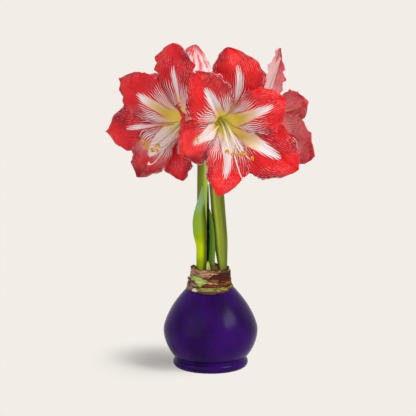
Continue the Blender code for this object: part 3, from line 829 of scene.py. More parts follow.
# base: middle of the ring of tepals. azimuth and elevation: where the flower looks, from the front. anthers
# and stigma: ends of the threads, in the flower's own axes. stalk and partner: where it grows, and the
# flower beside it there.
Flower = namedtuple("Flower", "base azimuth elevation tepals anthers stigma stalk partner")
HIDDEN_ANTHERS = ((12, -23, 70), (3, -19, 66), (-8, -20, 70), (-14, -22, 64), (-7, -27, 72), (15, -29, 74))
HIDDEN_STIGMA = (4, -42, 80)
FLOWERS = {
    "a": Flower((-22.0, -9.0, 287.0), -34.0, 4.0, (
        Tepal(OUTER, 82, 104, 57, 66, 25, 5, 2.0, 0.0, 0.62),
        Tepal(INNER, 143, 98, 54, 60, 30, 1, 2.5, 0.3, 0.80),
        Tepal(OUTER, 190, 105, 60, 68, 30, 0, 2.5, 0.6, 0.90),
        Tepal(INNER, 243, 92, 58, 56, 30, 0, 2.5, 0.1, 0.85),
        Tepal(OUTER, 287, 84, 54, 64, 30, 0, 2.0, 0.4, 0.90),
        Tepal(INNER, 10, 84, 46, 28, 10, 0, 2.0, 0.8, 0.90),
    ), ((4, -26, 68), (-4, -24, 75), (-14, -22, 71), (-8, -28, 74), (-1, -31, 72), (6, -31, 74)),
        (3, -46, 82), "left", "d"),
    "b": Flower((12.0, -36.0, 290.0), 12.0, -4.0, (
        Tepal(OUTER, 69, 104, 64, 66, 25, 24, 1.5, 0.2, 0.70),
        Tepal(INNER, 27, 87, 61, 57, 45, 0, 2.0, 0.5, 0.80),
        Tepal(OUTER, -32, 108, 66, 68, 25, 0, 2.0, 0.7, 0.80),
        Tepal(INNER, -91, 97, 54, 57, 10, -11, 1.5, 0.2, 0.90),
        Tepal(OUTER, -160, 80, 58, 60, 20, 7, 1.5, 0.9, 0.80),
        Tepal(INNER, 126, 106, 62, 50, 15, 0, 2.0, 0.0, 0.80),
    ), ((5, -26, 70), (9, -24, 74), (-3, -25, 72), (-41, -10, 62), (-8, -23, 66), (18, -30, 72)),
        (6, -50, 84), "right", "c"),
    "c": Flower((36.0, 10.0, 288.0), 120.0, 2.0, (
        Tepal(OUTER, 95, 98, 52, 66, 20, 3, 2.0, 0.1, 1.35),
        Tepal(INNER, 163, 86, 50, 58, 38, 0, 2.0, 0.4, 0.95),
        Tepal(OUTER, 208, 103, 60, 66, 25, 0, 2.0, 0.7, 0.85),
        Tepal(INNER, 272, 92, 50, 50, 15, 0, 2.0, 0.2, 0.85),
        Tepal(OUTER, 335, 92, 56, 58, 15, 0, 2.0, 0.6, 0.85),
        Tepal(INNER, 38, 92, 58, 44, 15, 0, 2.0, 0.9, 0.85),
    ), HIDDEN_ANTHERS, HIDDEN_STIGMA, "right", "b"),
    "d": Flower((-20.0, 34.0, 289.0), -162.0, 4.0, (
        Tepal(OUTER, 100, 99, 56, 66, 20, 0, 2.0, 0.3, 0.80),
        Tepal(INNER, 36, 88, 54, 60, 25, 0, 2.0, 0.6, 0.85),
        Tepal(OUTER, -20, 94, 56, 66, 25, 0, 2.0, 0.9, 0.85),
        Tepal(INNER, -80, 92, 50, 58, 20, 0, 2.0, 0.1, 0.85),
        Tepal(OUTER, -140, 92, 56, 56, 15, 0, 2.0, 0.5, 0.85),
        Tepal(INNER, 162, 92, 54, 44, 15, 0, 2.0, 0.8, 0.85),
    ), HIDDEN_ANTHERS, HIDDEN_STIGMA, "left", "a"),
}
# star: width of the white stripe. root: its width near the throat against that. ripe: where it stops being
# yellow. end: where it ends. fan: reach of the veins. lean: how much wider one side of the tepal is.
Look = namedtuple("Look", "star root ripe end fan lean")
USUAL = Look(1.0, 0.8, 0.34, 0.74, 1.0, 0.0)
LOOKS = {
    "flower_a_sepal_1": Look(0.70, 0.5, 0.42, 0.76, 1.0, -0.05),
    "flower_a_petal_1": Look(0.95, 1.1, 0.56, 0.72, 1.1, -0.12),
    "flower_a_sepal_2": Look(0.55, 0.5, 0.30, 0.72, 0.9, 0.0),
    "flower_a_petal_2": Look(1.60, 1.5, 0.30, 0.72, 1.3, 0.0),
    "flower_a_sepal_3": Look(0.50, 1.0, 0.25, 0.62, 0.9, 0.0),
    "flower_d_sepal_1": Look(0.80, 0.8, 0.30, 0.74, 1.2, 0.10),
    "flower_b_sepal_1": Look(0.75, 0.4, 0.42, 0.82, 0.9, 0.0),
    "flower_b_petal_1": Look(0.95, 1.5, 0.60, 0.82, 1.0, 0.0),
    "flower_b_sepal_2": Look(1.10, 1.6, 0.50, 0.77, 0.8, 0.0),
    "flower_b_petal_2": Look(0.80, 2.1, 0.22, 0.81, 0.95, 0.0),
    "flower_b_sepal_3": Look(0.95, 2.2, 0.24, 0.78, 1.1, 0.0),
    "flower_b_petal_3": Look(1.00, 1.0, 0.44, 0.78, 1.0, 0.15),
}


class AmaryllisBloom(bpy.types.PropertyGroup):
    red: colour_property("Red", "Colour of the blades", (0.78, 0.011, 0.016))
    deep_red: colour_property("Deep red", "Colour of the clouds in the red", (0.34, 0.005, 0.013))
    white: colour_property("White", "Colour of the star and the veins", (0.84, 0.74, 0.75))
    throat: colour_property("Throat", "Colour at the base of the blades", (0.66, 0.50, 0.07))
    blade: FloatProperty(
        name="Blade", description="Thickness of a blade at its base, in mm", min=0.2, max=1.5, default=0.55
    )
    stripe: FloatProperty(
        name="Stripe", description="Half width of the white stripe, in mm", min=0, max=12, default=5.4
    )
    reach: FloatProperty(
        name="Veins", description="How far the white veins run, as a share of the stripe", min=0.1, max=1.5,
        default=0.88,
    )


def flower_frame(flower):
    """The flower's axes as rows: right, up and its axis, which points out of the throat."""
    azimuth, elevation = math.radians(flower.azimuth), math.radians(flower.elevation)
    level = math.cos(elevation)
    axis = np.array([math.sin(azimuth) * level, -math.cos(azimuth) * level, math.sin(elevation)])
    up = unit(np.array([0, 0, 1]) - axis * axis[2])
    return np.stack([np.cross(up, axis), up, axis])


def in_place(flower, points):
    """Points in the flower's own axes, put where the flower is."""
    return points @ flower_frame(flower) + np.array(flower.base)


def midrib(tepal, v):
    """Radius from the flower's axis, height along it and angle from it, at share v of the tepal. The angle
    opens from the tube's to the blade's over the funnel and curls further out; radius and height are the
    sums of its sine and cosine along the tepal."""
    share = np.linspace(0, 1, MIDRIB_STEPS + 1)
    angle = THROAT_ANGLE + (tepal.open - THROAT_ANGLE) * smooth(*FUNNEL, share * tepal.length)
    angle = np.radians(angle + tepal.curl * smooth(0.5, 1.15, share))
    between = (angle[1:] + angle[:-1]) / 2
    length = tepal.length / MIDRIB_STEPS
    radius = TUBE_RADIUS + np.concatenate([[0], np.cumsum(np.sin(between)) * length])
    height = np.concatenate([[0], np.cumsum(np.cos(between)) * length])
    return tuple(np.interp(v, share, known) for known in (radius, height, angle))


def half_width(tepal, v, radius):
    """Half of the tepal's width, h: a share of the tube at the base, then an ovate blade v^1.05 (1 - v)^tip,
    scaled to the width at its peak. It is kept under m, its share of the way round the flower, by
    h m / (h^6 + m^6)^(1/6)."""
    rise = 1.05
    blade = v**rise * np.clip(1 - v, 0, 1) ** tepal.tip
    peak = rise / (rise + tepal.tip)
    blade = blade / (peak**rise * (1 - peak) ** tepal.tip)
    spread = smooth(0.0, 0.36, v)
    half = np.maximum(BASE_WIDTH * radius * (1 - spread) + tepal.width / 2 * blade * spread, 0.7)
    most = WIDEST * radius
    return half * most / (half**6 + most**6) ** (1 / 6)


def blade_relief(tepal, u, v, across):
    """Height of the blade over its smooth section: each half swells a little, the margins and the tip roll
    back, the midrib is a groove, and puckers and furrows run with the veins."""
    seed = tepal.phase + tepal.theta / 50
    swell = 1.7 * np.sin(np.pi * np.abs(u)) * smooth(0.12, 0.4, v) * (1 - 0.6 * smooth(0.8, 1.0, v))
    roll = -2.6 * np.abs(u) ** 3 * smooth(0.45, 0.85, v) - 3.2 * smooth(0.84, 1.02, v) ** 1.5
    pucker = 1.8 * waves(2.8 * u, 6 * v, seed) * smooth(0.25, 0.6, v)
    furrow = np.sin(9 * np.abs(u) / np.maximum(v, 0.3) + 4 * waves(u, 2 * v, seed + 1))
    furrow = 0.30 * furrow * smooth(0.2, 0.45, v)
    groove = -1.0 * np.exp(-((across / 2.0) ** 2)) * smooth(0.05, 0.2, v) * (1 - smooth(0.7, 0.95, v))
    return swell + roll + pucker + furrow + groove


def margin_wave(tepal, v, side, beats, shifts, lag, stray=0.0, strays=0.0):
    """A sine wave along the margins, with so many beats to the blade's length. The tepal's phase times
    shifts and the side, -1 or 1, times lag move it along, and stray makes its beats uneven."""
    start = 2 * np.pi * (beats * v + shifts * tepal.phase) + lag * side
    return np.sin(start + stray * np.sin(strays * v + tepal.theta))


def ruffle(tepal, u, v, half):
    """Height of the waves along the margins, slow, quick and fine. Up to two thirds of the blade the slow
    ones keep to the whorl's own side."""
    side = np.sign(u)
    beat = margin_wave(tepal, v, side, 2.4, 1, 1.3)
    quick = margin_wave(tepal, v, side, 5.9, 2, 0.8, 1.5, 9)
    fine = margin_wave(tepal, v, side, 13.7, 3, 2.1, 2.0, 17)
    far = smooth(0.6, 0.85, v)
    edge = np.abs(u) ** 2.2 * half / (tepal.width / 2)
    slow = tepal.wave * (tepal.whorl * (0.5 + 0.5 * beat) * (1 - far) + beat * far)
    return edge * slow + (np.abs(u) ** 4 * 1.6 * quick + np.abs(u) ** 9 * 0.7 * fine) * smooth(0.3, 0.5, v)


def margin(tepal, lean, u, v):
    """What the half width is multiplied by, so that the two margins wander: three waves along the blade,
    and one side wider than the other by lean."""
    side = np.sign(u)
    slow = 0.042 * margin_wave(tepal, v, side, 2.7, 1, 1)
    quick = 0.042 * margin_wave(tepal, v, side, 6.1, 2, 2, 2, 7)
    fine = 0.018 * margin_wave(tepal, v, side, 14.3, 1, 1, 3, 19)
    return 1 + smooth(0.3, 0.55, v) * (slow + quick + fine + side * lean)


def blade_solid(flower, tepal, look, thickness, rows=88, cols=49):
    """One tepal. Its midrib lies in a plane through the flower's axis, and sweeps round it towards the tip.
    Across it the section is an arc of curvature cos(angle) / radius, which keeps to the flower's funnel,
    with the relief and the ruffle added along the normal. The marks are u, v and the millimetres across."""
    v = (1 - (1 - np.linspace(0, 1, rows)) ** 1.12)[:, None]
    u = np.linspace(-1, 1, cols)[None, :]
    radius, height, angle = midrib(tepal, v)
    half = half_width(tepal, v, radius) * margin(tepal, look.lean, u, v)
    across = u * half
    bend = np.cos(angle) / radius
    bend = np.where(np.abs(bend) < 1e-4, 1e-4, bend)
    side = np.sin(bend * across) / bend
    rise = (1 - np.cos(bend * across)) / bend
    rise = rise + tepal.whorl * (BASE_OFFSET + BLADE_OFFSET * smooth(0.08, 0.4, v))
    rise = rise + ruffle(tepal, u, v, half) + blade_relief(tepal, u, v, across)
    round_at = np.radians(tepal.theta + tepal.sweep * v**2)
    cos, sin = np.cos(round_at), np.sin(round_at)
    middle = vectors(radius * cos, radius * sin, height + GAP)
    sideways = vectors(-sin, cos, 0)
    normal = vectors(-np.cos(angle) * cos, -np.cos(angle) * sin, np.sin(angle))
    points = middle + sideways * side[..., None] + normal * rise[..., None]
    face = unit(np.cross(np.gradient(points, axis=1), np.gradient(points, axis=0)))
    face = face * np.sign((face * normal).sum(-1).mean())
    wall = thickness * (1 - 0.45 * np.abs(u) ** 2) * (1 - 0.3 * v)
    keel = 0.7 * np.exp(-((across / 1.5) ** 2)) * (1 - smooth(0.6, 1.0, v))
    front = in_place(flower, points + face * (wall / 2)[..., None])
    back = in_place(flower, points - face * (wall / 2 + keel)[..., None])
    return sheet_solid(front, back, vectors(u, v, across), (0, 1))


def blade_style(solid, look):
    """For each vertex: what the half width of the white stripe is multiplied by, which goes from the root's
    to the star's and closes before the end, then where the stripe stops being yellow, where it ends and how
    far the veins reach."""
    v = solid.marks[:, 1]
    closing = 1 - np.clip((v - look.end + 0.22) / 0.22, 0, 1) ** 2.6
    band = look.star * (look.root + (1 - look.root) * smooth(0.30, 0.62, v)) * closing
    return vectors(band, look.ripe, look.end, look.fan)


def vein_group():
    """Where a tepal is white. Marks hold u across, v along and the millimetres across. Style holds what
    Stripe, the half width of the star's stripe, is multiplied by, where it stops being yellow and where it
    ends. Density is how close the veins are, and Reach times Amount how far along they run. Star is the
    stripe up the middle, with a toothed outline. Lines is a pattern of lines on which |u| / v^0.7 is equal:
    they fan out from the base and double in number at about 0.6 of the way. Fan is white where the lines
    are over a level that rises along the tepal, so that they are dense near the base and die out. Hair is a
    finer pattern of such lines, broken into dashes."""
    made = bpy.data.node_groups.get("star and veins")
    if made:
        return made
    sockets = [
        ("Marks", "Vector", None), ("Style", "Vector", None), ("Amount", "Float", 1.0),
        ("Stripe", "Float", 5.0), ("Reach", "Float", 0.85), ("Density", "Float", 5.0),
    ]
    tree, given, result = new_group("star and veins", sockets, ["Star", "Fan", "Lines", "Hair"])
    u, v, across = split(given["Marks"])
    band, ripe, end = split(given["Style"])
    u = abs(u)
    start = end * 67.0 + ripe * 31.0  # each look has its own stretch of the noise
    wobble = noise(join(across * 0.16, v * 7.0, start), 1.0) - 0.5
    fan = u / larger(v, 0.03) ** 0.7 * given["Density"] + wobble * 0.9
    few, fine, many = (abs(calculated("FRACT", fan * times) * 2.0 - 1.0) for times in (1.0, 1.6, 2.0))
    line = (many - few) * step(0.56, 0.64, wobble * 0.25 + v) + few
    half = given["Stripe"] * band
    out = abs(across) - half + wobble * 2.6
    tooth = (0.5 - fine) * (step(0.35, 0.75, v) * 4.5)
    star = (1.0 - step(-1.1, 0.9, out + tooth)) * step(0.0, 0.4, half)
    level = step(0.46, 1.05, (wobble * 0.22 + v) / (end * given["Reach"] * given["Amount"]))
    beside = step(-0.5, 2.5, out) * (step(0.7, 1.0, u) * -0.7 + 1.0)
    beside = larger(beside, 1.0 - step(0.20, 0.40, v))
    cut = 1.1 - (1.0 - level) * beside * 0.78
    dashes = step(0.38, 0.60, noise(join(across * 0.35, v * 30.0, start), 1.0, 2.0, 0.6))
    fill(result["Star"], star)
    fill(result["Fan"], step(-0.16, 0.16, line - cut))
    fill(result["Lines"], line)
    fill(result["Hair"], step(0.45, 0.95, fine) * dashes)
    return tree


def petal_face_material(name, settings, cool):
    """The inner face of a tepal: red with deeper clouds, which are partly tone that differs at random and
    partly painted shade, more of them towards the margins, and pale hairs, the white star and its fanned
    veins, a broken pale rim, yellow down in the throat, and painted shade at the margins there, where the
    tepals meet. A painted glow, yellow near the throat and a dim copy of the colour beyond, stands in for
    light through the thin blade. cool is how far the red goes towards crimson."""
    petal = Finish(name, settings.red, 0.36, 0.11)
    place, marks, style = petal.place(), petal.attribute("marks"), petal.attribute("style")
    u, v, _ = split(marks)
    ripe = split(style)[1]
    white = placed(
        vein_group(), petal.tree, Marks=marks, Style=style, Amount=petal.attribute("style", "Alpha"),
        Stripe=settings.stripe, Reach=settings.reach, Density=6.0,
    )
    side = abs(u)
    red, green, blue = settings.red
    red = red * (1 - 0.28 * cool)
    plain = (red, green, blue * (1 + cool))
    warm = (min(red * 1.12, 1.0), green * 1.9, blue * (1.2 + cool))
    pink = [0.45 * a + 0.55 * b for a, b in zip(plain, settings.white)]
    patch = noise(place, 38.0, 4.0, 0.6)
    cloud = noise(place, 24.0, 2.0)
    colour = mix(step(0.35, 0.65, patch), plain, warm)
    # partly painted shade: deep red clouds, more of them towards the margins
    colour = mix(step(0.46, 0.66, cloud * 0.85 + side * 0.16), colour, settings.deep_red)
    between = (1.0 - white["Lines"]) * (1.0 - step(0.55, 1.0, v))
    colour = mix(between * 0.7, colour, settings.deep_red)
    frost = step(0.42, 0.62, noise(place, 46.0, 2.0)) * 0.38 + 0.04
    colour = mix(white["Hair"] * frost, colour, pink)
    colour = mix(white["Fan"], colour, settings.white)
    rim = step(0.955, 0.985, side) * step(0.50, 0.58, cloud)
    hatch = step(0.80, 0.95, side) * step(0.3, 0.8, white["Hair"]) * step(0.42, 0.56, cloud)
    colour = mix(larger(rim, hatch) * 0.7, colour, settings.white)
    near = patch * 0.08 + v - ripe
    stripe = mix(step(-0.22, -0.02, near), settings.throat, (0.80, 0.60, 0.36))
    stripe = mix(step(-0.04, 0.10, near), stripe, settings.white)
    stripe = mix(white["Hair"] * 0.30, stripe, pink)
    colour = mix(white["Star"], colour, stripe)
    colour = mix((1.0 - step(0.10, 0.32, v)) * 0.85, colour, (0.88, 0.74, 0.20))
    # painted shade between the tepals at the throat
    dark = step(0.72, 0.95, side) * (1.0 - step(0.24, 0.36, v))
    colour = mix(dark * 0.8, colour, (0.10, 0.025, 0.008))
    petal.put("Base Color", colour)
    # painted glow: yellow near the throat, a dim copy of the colour beyond
    petal.painted_glow(mix(step(0.14, 0.42, v), (0.26, 0.19, 0.03), mix(0.94, colour, BLACK)), 1.0)
    grain = noise(stretched(marks, (60.0, 9.0, 0.0)), 1.6)
    petal.relief(white["Lines"] * 0.5 + grain * 0.9, 0.7, 0.0006)
    return petal.material


def petal_back_material(name, settings, pale, height=0.0, redder=0.0):
    """The outer face: crimson with pale fine veins, a pale hatched rim and a greenish midrib and base. pale
    is how far the veins go towards white. With a height it is also white up to about there, with red hairs,
    and redder on its side of positive u. A painted glow, a tenth of the same colour, stands in for light
    through it."""
    petal = Finish(name, settings.red, 0.5, 0.15)
    marks = petal.attribute("marks")
    u, v, across = split(marks)
    white = placed(
        vein_group(), petal.tree, Marks=marks, Style=petal.attribute("style"), Stripe=3.0, Reach=1.3,
        Density=8.1,
    )
    patch = noise(petal.place(), 55.0, 4.0, 0.6)
    colour = mix(step(0.40, 0.60, patch), (0.84, 0.060, 0.095), (0.60, 0.018, 0.034))
    if height:
        mottle = noise(stretched(marks, (3.2, 3.0, 0.0)), 1.6, 3.0, 0.6)
        ground = height - v + (mottle - 0.5) * 2.6 - step(0.0, 0.35, u) * redder
        colour = mix(step(0.05, 0.45, ground), colour, (1.0, 0.74, 0.74))
        colour = mix(white["Hair"] * 0.45, colour, (0.80, 0.040, 0.075))
    veins = white["Hair"] * (step(0.42, 0.58, patch) * -0.3 + 0.62)
    veins = larger(veins, white["Fan"] * (0.4 + 0.4 * pale))
    hatch = step(0.80, 0.97, abs(u)) * step(0.2, 0.7, white["Hair"])
    colour = mix(larger(veins, hatch) * 0.85, colour, (0.98, 0.64, 0.66))
    rib = (1.0 - step(0.5, 1.7, abs(across))) * (1.0 - step(0.62, 0.92, v))
    colour = mix(rib * 0.7, colour, (0.56, 0.44, 0.24))
    colour = mix(1.0 - step(0.04, 0.22, v), colour, (0.35, 0.42, 0.10))
    petal.put("Base Color", colour)
    # painted glow, a tenth of the colour
    petal.painted_glow(colour, 0.10)
    grain = noise(stretched(marks, (60.0, 9.0, 0.0)), 1.6)
    petal.relief(white["Lines"] * 0.6 + grain * 0.8, 0.6, 0.0005)
    return petal.material


class AMARYLLIS_OT_petals(bpy.types.Operator):
    """The six tepals of each flower: three outer ones behind three inner ones"""

    bl_idname = "amaryllis.petals"
    bl_label = "Petals"

    def execute(self, context):
        settings = context.scene.amaryllis_bloom
        warm = petal_face_material("petal face", settings, 0.0)
        cool = petal_face_material("cool petal face", settings, 0.45)
        dark = petal_back_material("petal back", settings, 0.30)
        pale = {
            "flower_d_sepal_1": petal_back_material("pale petal back", settings, 1.0, 1.14),
            "flower_c_sepal_1": petal_back_material("half pale petal back", settings, 1.0, 1.25, 1.0),
        }
        for key, flower in FLOWERS.items():
            for number, tepal in enumerate(flower.tepals):
                word = "petal" if tepal.whorl == INNER else "sepal"
                label = f"flower_{key}_{word}_{number // 2 + 1}"
                look = LOOKS.get(label, USUAL)
                solid = blade_solid(flower, tepal, look, settings.blade)
                materials = [warm if key == "b" else cool, pale.get(label, dark)]
                piece(f"{label}_blade", solid, materials, (label,), blade_style(solid, look))
        return {"FINISHED"}


# ---- stamens and styles

THREAD_POINTS = 40
THREAD_RING = 3.5  # radius of the ring that the threads grow from
SAC_SPAN = 1.9  # half of the arc that an anther bends through, in radians
THREAD_SQUARE = (1, 0.1, 0.2)  # direction that the first point of a thread's rings is square to


def thread_path(root, tip, lift):
    """A cubic that leaves the flower along its axis, hangs below it and turns up at the end."""
    bend = root + np.array([0, 2, 0.42 * tip[2]])
    return bezier(root, bend, tip - np.array([0, lift, 0.22 * tip[2]]), tip, THREAD_POINTS)


def anther_solid(flower, tip, number):
    """A curved pollen sac across the end of a thread: an arc of an ellipse, thickest in its middle, turned
    by a different amount at each thread."""
    span = np.linspace(-SAC_SPAN, SAC_SPAN, 19)
    roll = math.radians(-20 + 47 * number % 45)
    lean = math.radians(35 * math.sin(2.1 * number))
    x, y = 1.9 * np.sin(span), 3.3 * (np.cos(span) - 1) + 1.6
    x, y = x * math.cos(roll) - y * math.sin(roll), x * math.sin(roll) + y * math.cos(roll)
    path = in_place(flower, vectors(x * math.cos(lean), y, x * math.sin(lean) + 0.5) + tip)
    radii = 0.95 * np.sqrt(np.clip(1.03 - (span / SAC_SPAN) ** 4, 0, 1))
    return tube_solid(path, radii, 12, 1, square_to=(0.3, 0.2, 1))


def stamen_solid(flower):
    """Six threads from a ring in the tube, each a tapering tube with its anther."""
    parts = []
    for number, tip in enumerate(flower.anthers):
        out = level_ways(60 * number + 30)[0]
        root = THREAD_RING * out + [0, 0, GAP + 0.9]
        path = in_place(flower, thread_path(root, np.array(tip, float), 12))
        parts.append(tube_solid(path, np.linspace(1.25, 0.6, THREAD_POINTS), 10, square_to=THREAD_SQUARE))
        parts.append(anther_solid(flower, np.array(tip, float), number))
    return joined(parts)


def style_solid(flower):
    """The style, a tapering tube, with a stigma of three short lobes that curl outwards."""
    tip = np.array(flower.stigma, float)
    path = in_place(flower, thread_path(np.array([0, 0, GAP]), tip, 6))
    parts = [tube_solid(path, np.linspace(1.0, 0.5, THREAD_POINTS), 10, square_to=THREAD_SQUARE)]
    radii = [0.7, 0.75, 0.8, 0.8, 0.75, 0.65, 0.5, 0.25]
    for number in range(3):
        out = level_ways(120 * number + 90)[0] + [0, 0, 0.5]
        lobe = bezier(tip, tip + out * 0.8, tip + out * 1.6, tip + out * 2.2 + [0, 0, -0.6], len(radii))
        parts.append(tube_solid(in_place(flower, lobe), radii, 8, square_to=THREAD_SQUARE))
    return joined(parts)


def thread_material():
    """Filaments: greenish at the root, then white, flushed pink towards the end."""
    thread = Finish("filament", (0.85, 0.80, 0.66), 0.4, 0.4)
    along = split(thread.attribute("marks"))[2]
    colour = mix(step(0.05, 0.5, along), (0.62, 0.64, 0.20), (0.90, 0.84, 0.74))
    thread.put("Base Color", mix(step(0.6, 1.0, along) * 0.35, colour, (0.85, 0.35, 0.30)))
    return thread.material


def pollen_material():
    """Ripe anthers: yellow pollen over an orange-brown sac, grainy."""
    pollen = Finish("pollen", (0.75, 0.40, 0.02), 0.8, 0.1)
    grain = noise(pollen.place(), 1400.0)
    pollen.put("Base Color", mix(step(0.36, 0.56, grain), (0.35, 0.10, 0.01), (0.85, 0.46, 0.02)))
    pollen.relief(grain, 0.8, 0.0003)
    return pollen.material


class AMARYLLIS_OT_stamens(bpy.types.Operator):
    """Six stamens and a style in each flower"""

    bl_idname = "amaryllis.stamens"
    bl_label = "Stamens"

    def execute(self, context):
        thread, pollen = thread_material(), pollen_material()
        for key, flower in FLOWERS.items():
            name = f"flower_{key}"
            piece(f"{name}_filaments", stamen_solid(flower), [thread, pollen], (f"{name}_stamens",))
            piece(f"{name}_pistil", style_solid(flower), [thread], (f"{name}_style",))
        return {"FINISHED"}


# ---- stalks

# (share, radius) along a flower's own stalk: the stalk, the ovary, and the cup that the tepals stand in
OVARY = (
    (0.0, 3.0), (0.35, 3.2), (0.55, 4.2), (0.70, 5.9), (0.82, 5.6), (0.90, 5.2), (0.96, 7.2), (1.0, 8.4),
)
OVARY_POINTS = 60
PEDICEL_SPREAD = 3.4  # from the middle of the stalk's top to each of the two that stand on it
THIN_FOOT = 50  # length of a stalk's lower end, which is thinner
STALK_FOOT = NECK_TOP + GAP
STALK_TOP = 262.0
Stalk = namedtuple("Stalk", "foot top foot_radius top_radius seed")  # foot and top: x and y there
STALKS = {
    "left": Stalk((-10.0, 7.5), (-9.0, 9.5), 5.9, 6.3, 1.0),
    "right": Stalk((15.0, -2.0), (2.9, -7.5), 4.8, 8.1, 2.0),
}
STALK_PAINTED_SHADES = {  # painted light and shade: the stalk's colour at some values of its normal's X, from left to right
    "left": (
        (-0.95, (0.10, 0.125, 0.010)), (-0.50, (0.20, 0.27, 0.022)), (-0.05, (0.33, 0.48, 0.045)),
        (0.40, (0.70, 0.98, 0.16)),
    ),
    "right": (
        (-1.0, (0.020, 0.032, 0.0)), (-0.72, (0.13, 0.175, 0.008)), (-0.40, (0.40, 0.54, 0.06)),
        (0.10, (0.22, 0.28, 0.020)), (0.75, (0.085, 0.105, 0.006)),
    ),
}
STALK_PAINTED_GLOW = {"left": (0.16, 0.27, 0.030), "right": BLACK}  # painted light: the glow of the side that faces +X


def receptacle_solid(flower):
    """A flower's own stalk, a cubic that bends out from the top of the big one, away from its partner, then
    the ovary with its three lobes, and the cup that the tepals stand in."""
    axis = flower_frame(flower)[2]
    apart = (axis - flower_frame(FLOWERS[flower.partner])[2]) * [1, 1, 0]
    start = np.array([*STALKS[flower.stalk].top, STALK_TOP + GAP]) + unit(apart) * PEDICEL_SPREAD
    end = np.array(flower.base)
    reach = np.linalg.norm(end - start)
    path = bezier(start, start + [0, 0, reach * 0.5], end - axis * reach * 0.45, end, OVARY_POINTS)
    radii = softened(np.interp(np.linspace(0, 1, OVARY_POINTS), *zip(*OVARY)), 3)

    def lobes(v, angle):
        return 1 + 0.10 * np.cos(3 * angle) * np.exp(-(((v - 0.74) / 0.12) ** 2))

    square_to = unit(np.cross(axis, [0, 0, 1])) + (0.2, 0.15, 0.1)
    return tube_solid(path, radii, 32, 0, lobes, square_to)


def stalk_solid(stalk):
    """A scape: a straight tube, slightly flattened, a little uneven in thickness, and thinner at its
    foot."""
    foot, top = np.array([*stalk.foot, STALK_FOOT]), np.array([*stalk.top, STALK_TOP])
    path = foot + (top - foot) * np.linspace(0, 1, 60)[:, None]
    thick = smooth(0, THIN_FOOT, path[:, 2] - foot[2])
    radii = stalk.foot_radius + (stalk.top_radius - stalk.foot_radius) * thick

    def lobes(v, angle):
        uneven = 0.012 * waves(3 * angle, 5 * v, stalk.seed) * (0 < v) * (v < 1)
        return 1 + 0.02 * np.cos(2 * angle + stalk.seed) + uneven

    return tube_solid(path, radii, 48, 0, lobes)


def stalk_material(name, side, cup=False):
    """Green stalk, streaked along its length. Its colour goes from shade to shade with its normal's X:
    painted light and shade on its sides, with a painted glow on the side that faces +X. With cup, the cup at
    the end of a flower's own stalk is yellow inside."""
    painted_shades = STALK_PAINTED_SHADES[side]
    stalk = Finish(name, painted_shades[1][1], 0.42, 0.06)
    fibres = placed(fibre_group(), stalk.tree, Vector=stalk.place(), Blotch_Size=40.0)
    facing = stalk.facing()
    # painted light and shade, from one side of the stalk to the other
    colour = painted_shades[0][1]
    for (low, _), (high, shade) in zip(painted_shades, painted_shades[1:]):
        colour = mix(step(low, high, facing), colour, shade)
    colour = mix(fibres["Streaks"] * 0.18, colour, (0.42, 0.54, 0.12))
    colour = mix(fibres["Blotch"] * 0.18, colour, painted_shades[1][1])
    if cup:
        along = split(stalk.attribute("marks"))[2]
        colour = mix(step(0.985, 0.998, along), colour, (0.85, 0.72, 0.22))
    stalk.put("Base Color", colour)
    # painted glow on the side that faces +X
    stalk.painted_glow(mix(step(0.05, 0.55, facing), BLACK, STALK_PAINTED_GLOW[side]), 0.8)
    stalk.relief(fibres["Streaks"], 0.35, 0.0003)
    return stalk.material


class AMARYLLIS_OT_stalks(bpy.types.Operator):
    """The two big stalks, and each flower's own stalk with its ovary"""

    bl_idname = "amaryllis.stalks"
    bl_label = "Stalks"

    def execute(self, context):
        for side, stalk in STALKS.items():
            green = stalk_material(f"{side} stalk green", side)
            piece(f"stalk_{side}", stalk_solid(stalk), [green], (f"scape_{side}",))
        green = stalk_material("ovary green", "left", True)
        for key, flower in FLOWERS.items():
            name = f"flower_{key}_receptacle"
            piece(f"flower_{key}_ovary", receptacle_solid(flower), [green], (name,))
        return {"FINISHED"}


# ---- bud

BUD_FOOT = (-10.8, -9.0, STALK_FOOT)
BUD_JOINT = 142.5  # height at which the bud's stalk ends
BUD_TIP = (-10.0, -10.0, 213.5)
BUD_POINTS = 110
BUD_OUTLINE = (  # (share above the joint, shift along X, radius)
    (0.0, 0.0, 5.7), (0.03, 0.0, 5.9), (0.10, -0.5, 6.8), (0.24, -1.6, 8.3), (0.42, -2.4, 8.4),
    (0.58, -2.1, 6.7), (0.75, -0.9, 4.3), (0.90, 0.2, 2.0), (1.0, 0.6, 0.4),
)
BUD_SHADES = (  # (height in metres at which a shade begins, and is reached, and the shade), from the foot up
    (0.126, 0.146, (0.48, 0.59, 0.0)),
    (0.146, 0.162, (0.31, 0.44, 0.0)),
    (0.158, 0.172, (0.25, 0.42, 0.035)),
    (0.178, 0.204, (0.29, 0.52, 0.25)),
)


def bud_solid():
    """The bud and its stalk: a line straight up from the foot to the joint and on to the tip, with the
    outline's shift and radius along the upper part. Two shallow valleys run up it where its two sheaths
    meet."""
    foot, tip = np.array(BUD_FOOT), np.array(BUD_TIP)
    height = np.linspace(foot[2], tip[2], BUD_POINTS)
    share = np.clip((height - BUD_JOINT) / (tip[2] - BUD_JOINT), 0, 1)
    known, *columns = zip(*BUD_OUTLINE)
    shift, radius = (softened(np.interp(share, known, column), 4) for column in columns)
    path = foot + (tip - foot) * share[:, None]
    path[:, 2] = height
    path[:, 0] += shift

    def lobes(v, angle):
        rise = smooth(0.40, 0.55, v)
        valley = np.exp(-(((np.mod(angle - 0.5, np.pi) - np.pi / 2) / 0.16) ** 2))
        return 1 - 0.09 * valley * rise + 0.03 * np.cos(2 * angle) * rise

    return tube_solid(path, np.maximum(radius, 0.4), 64, 0, lobes)


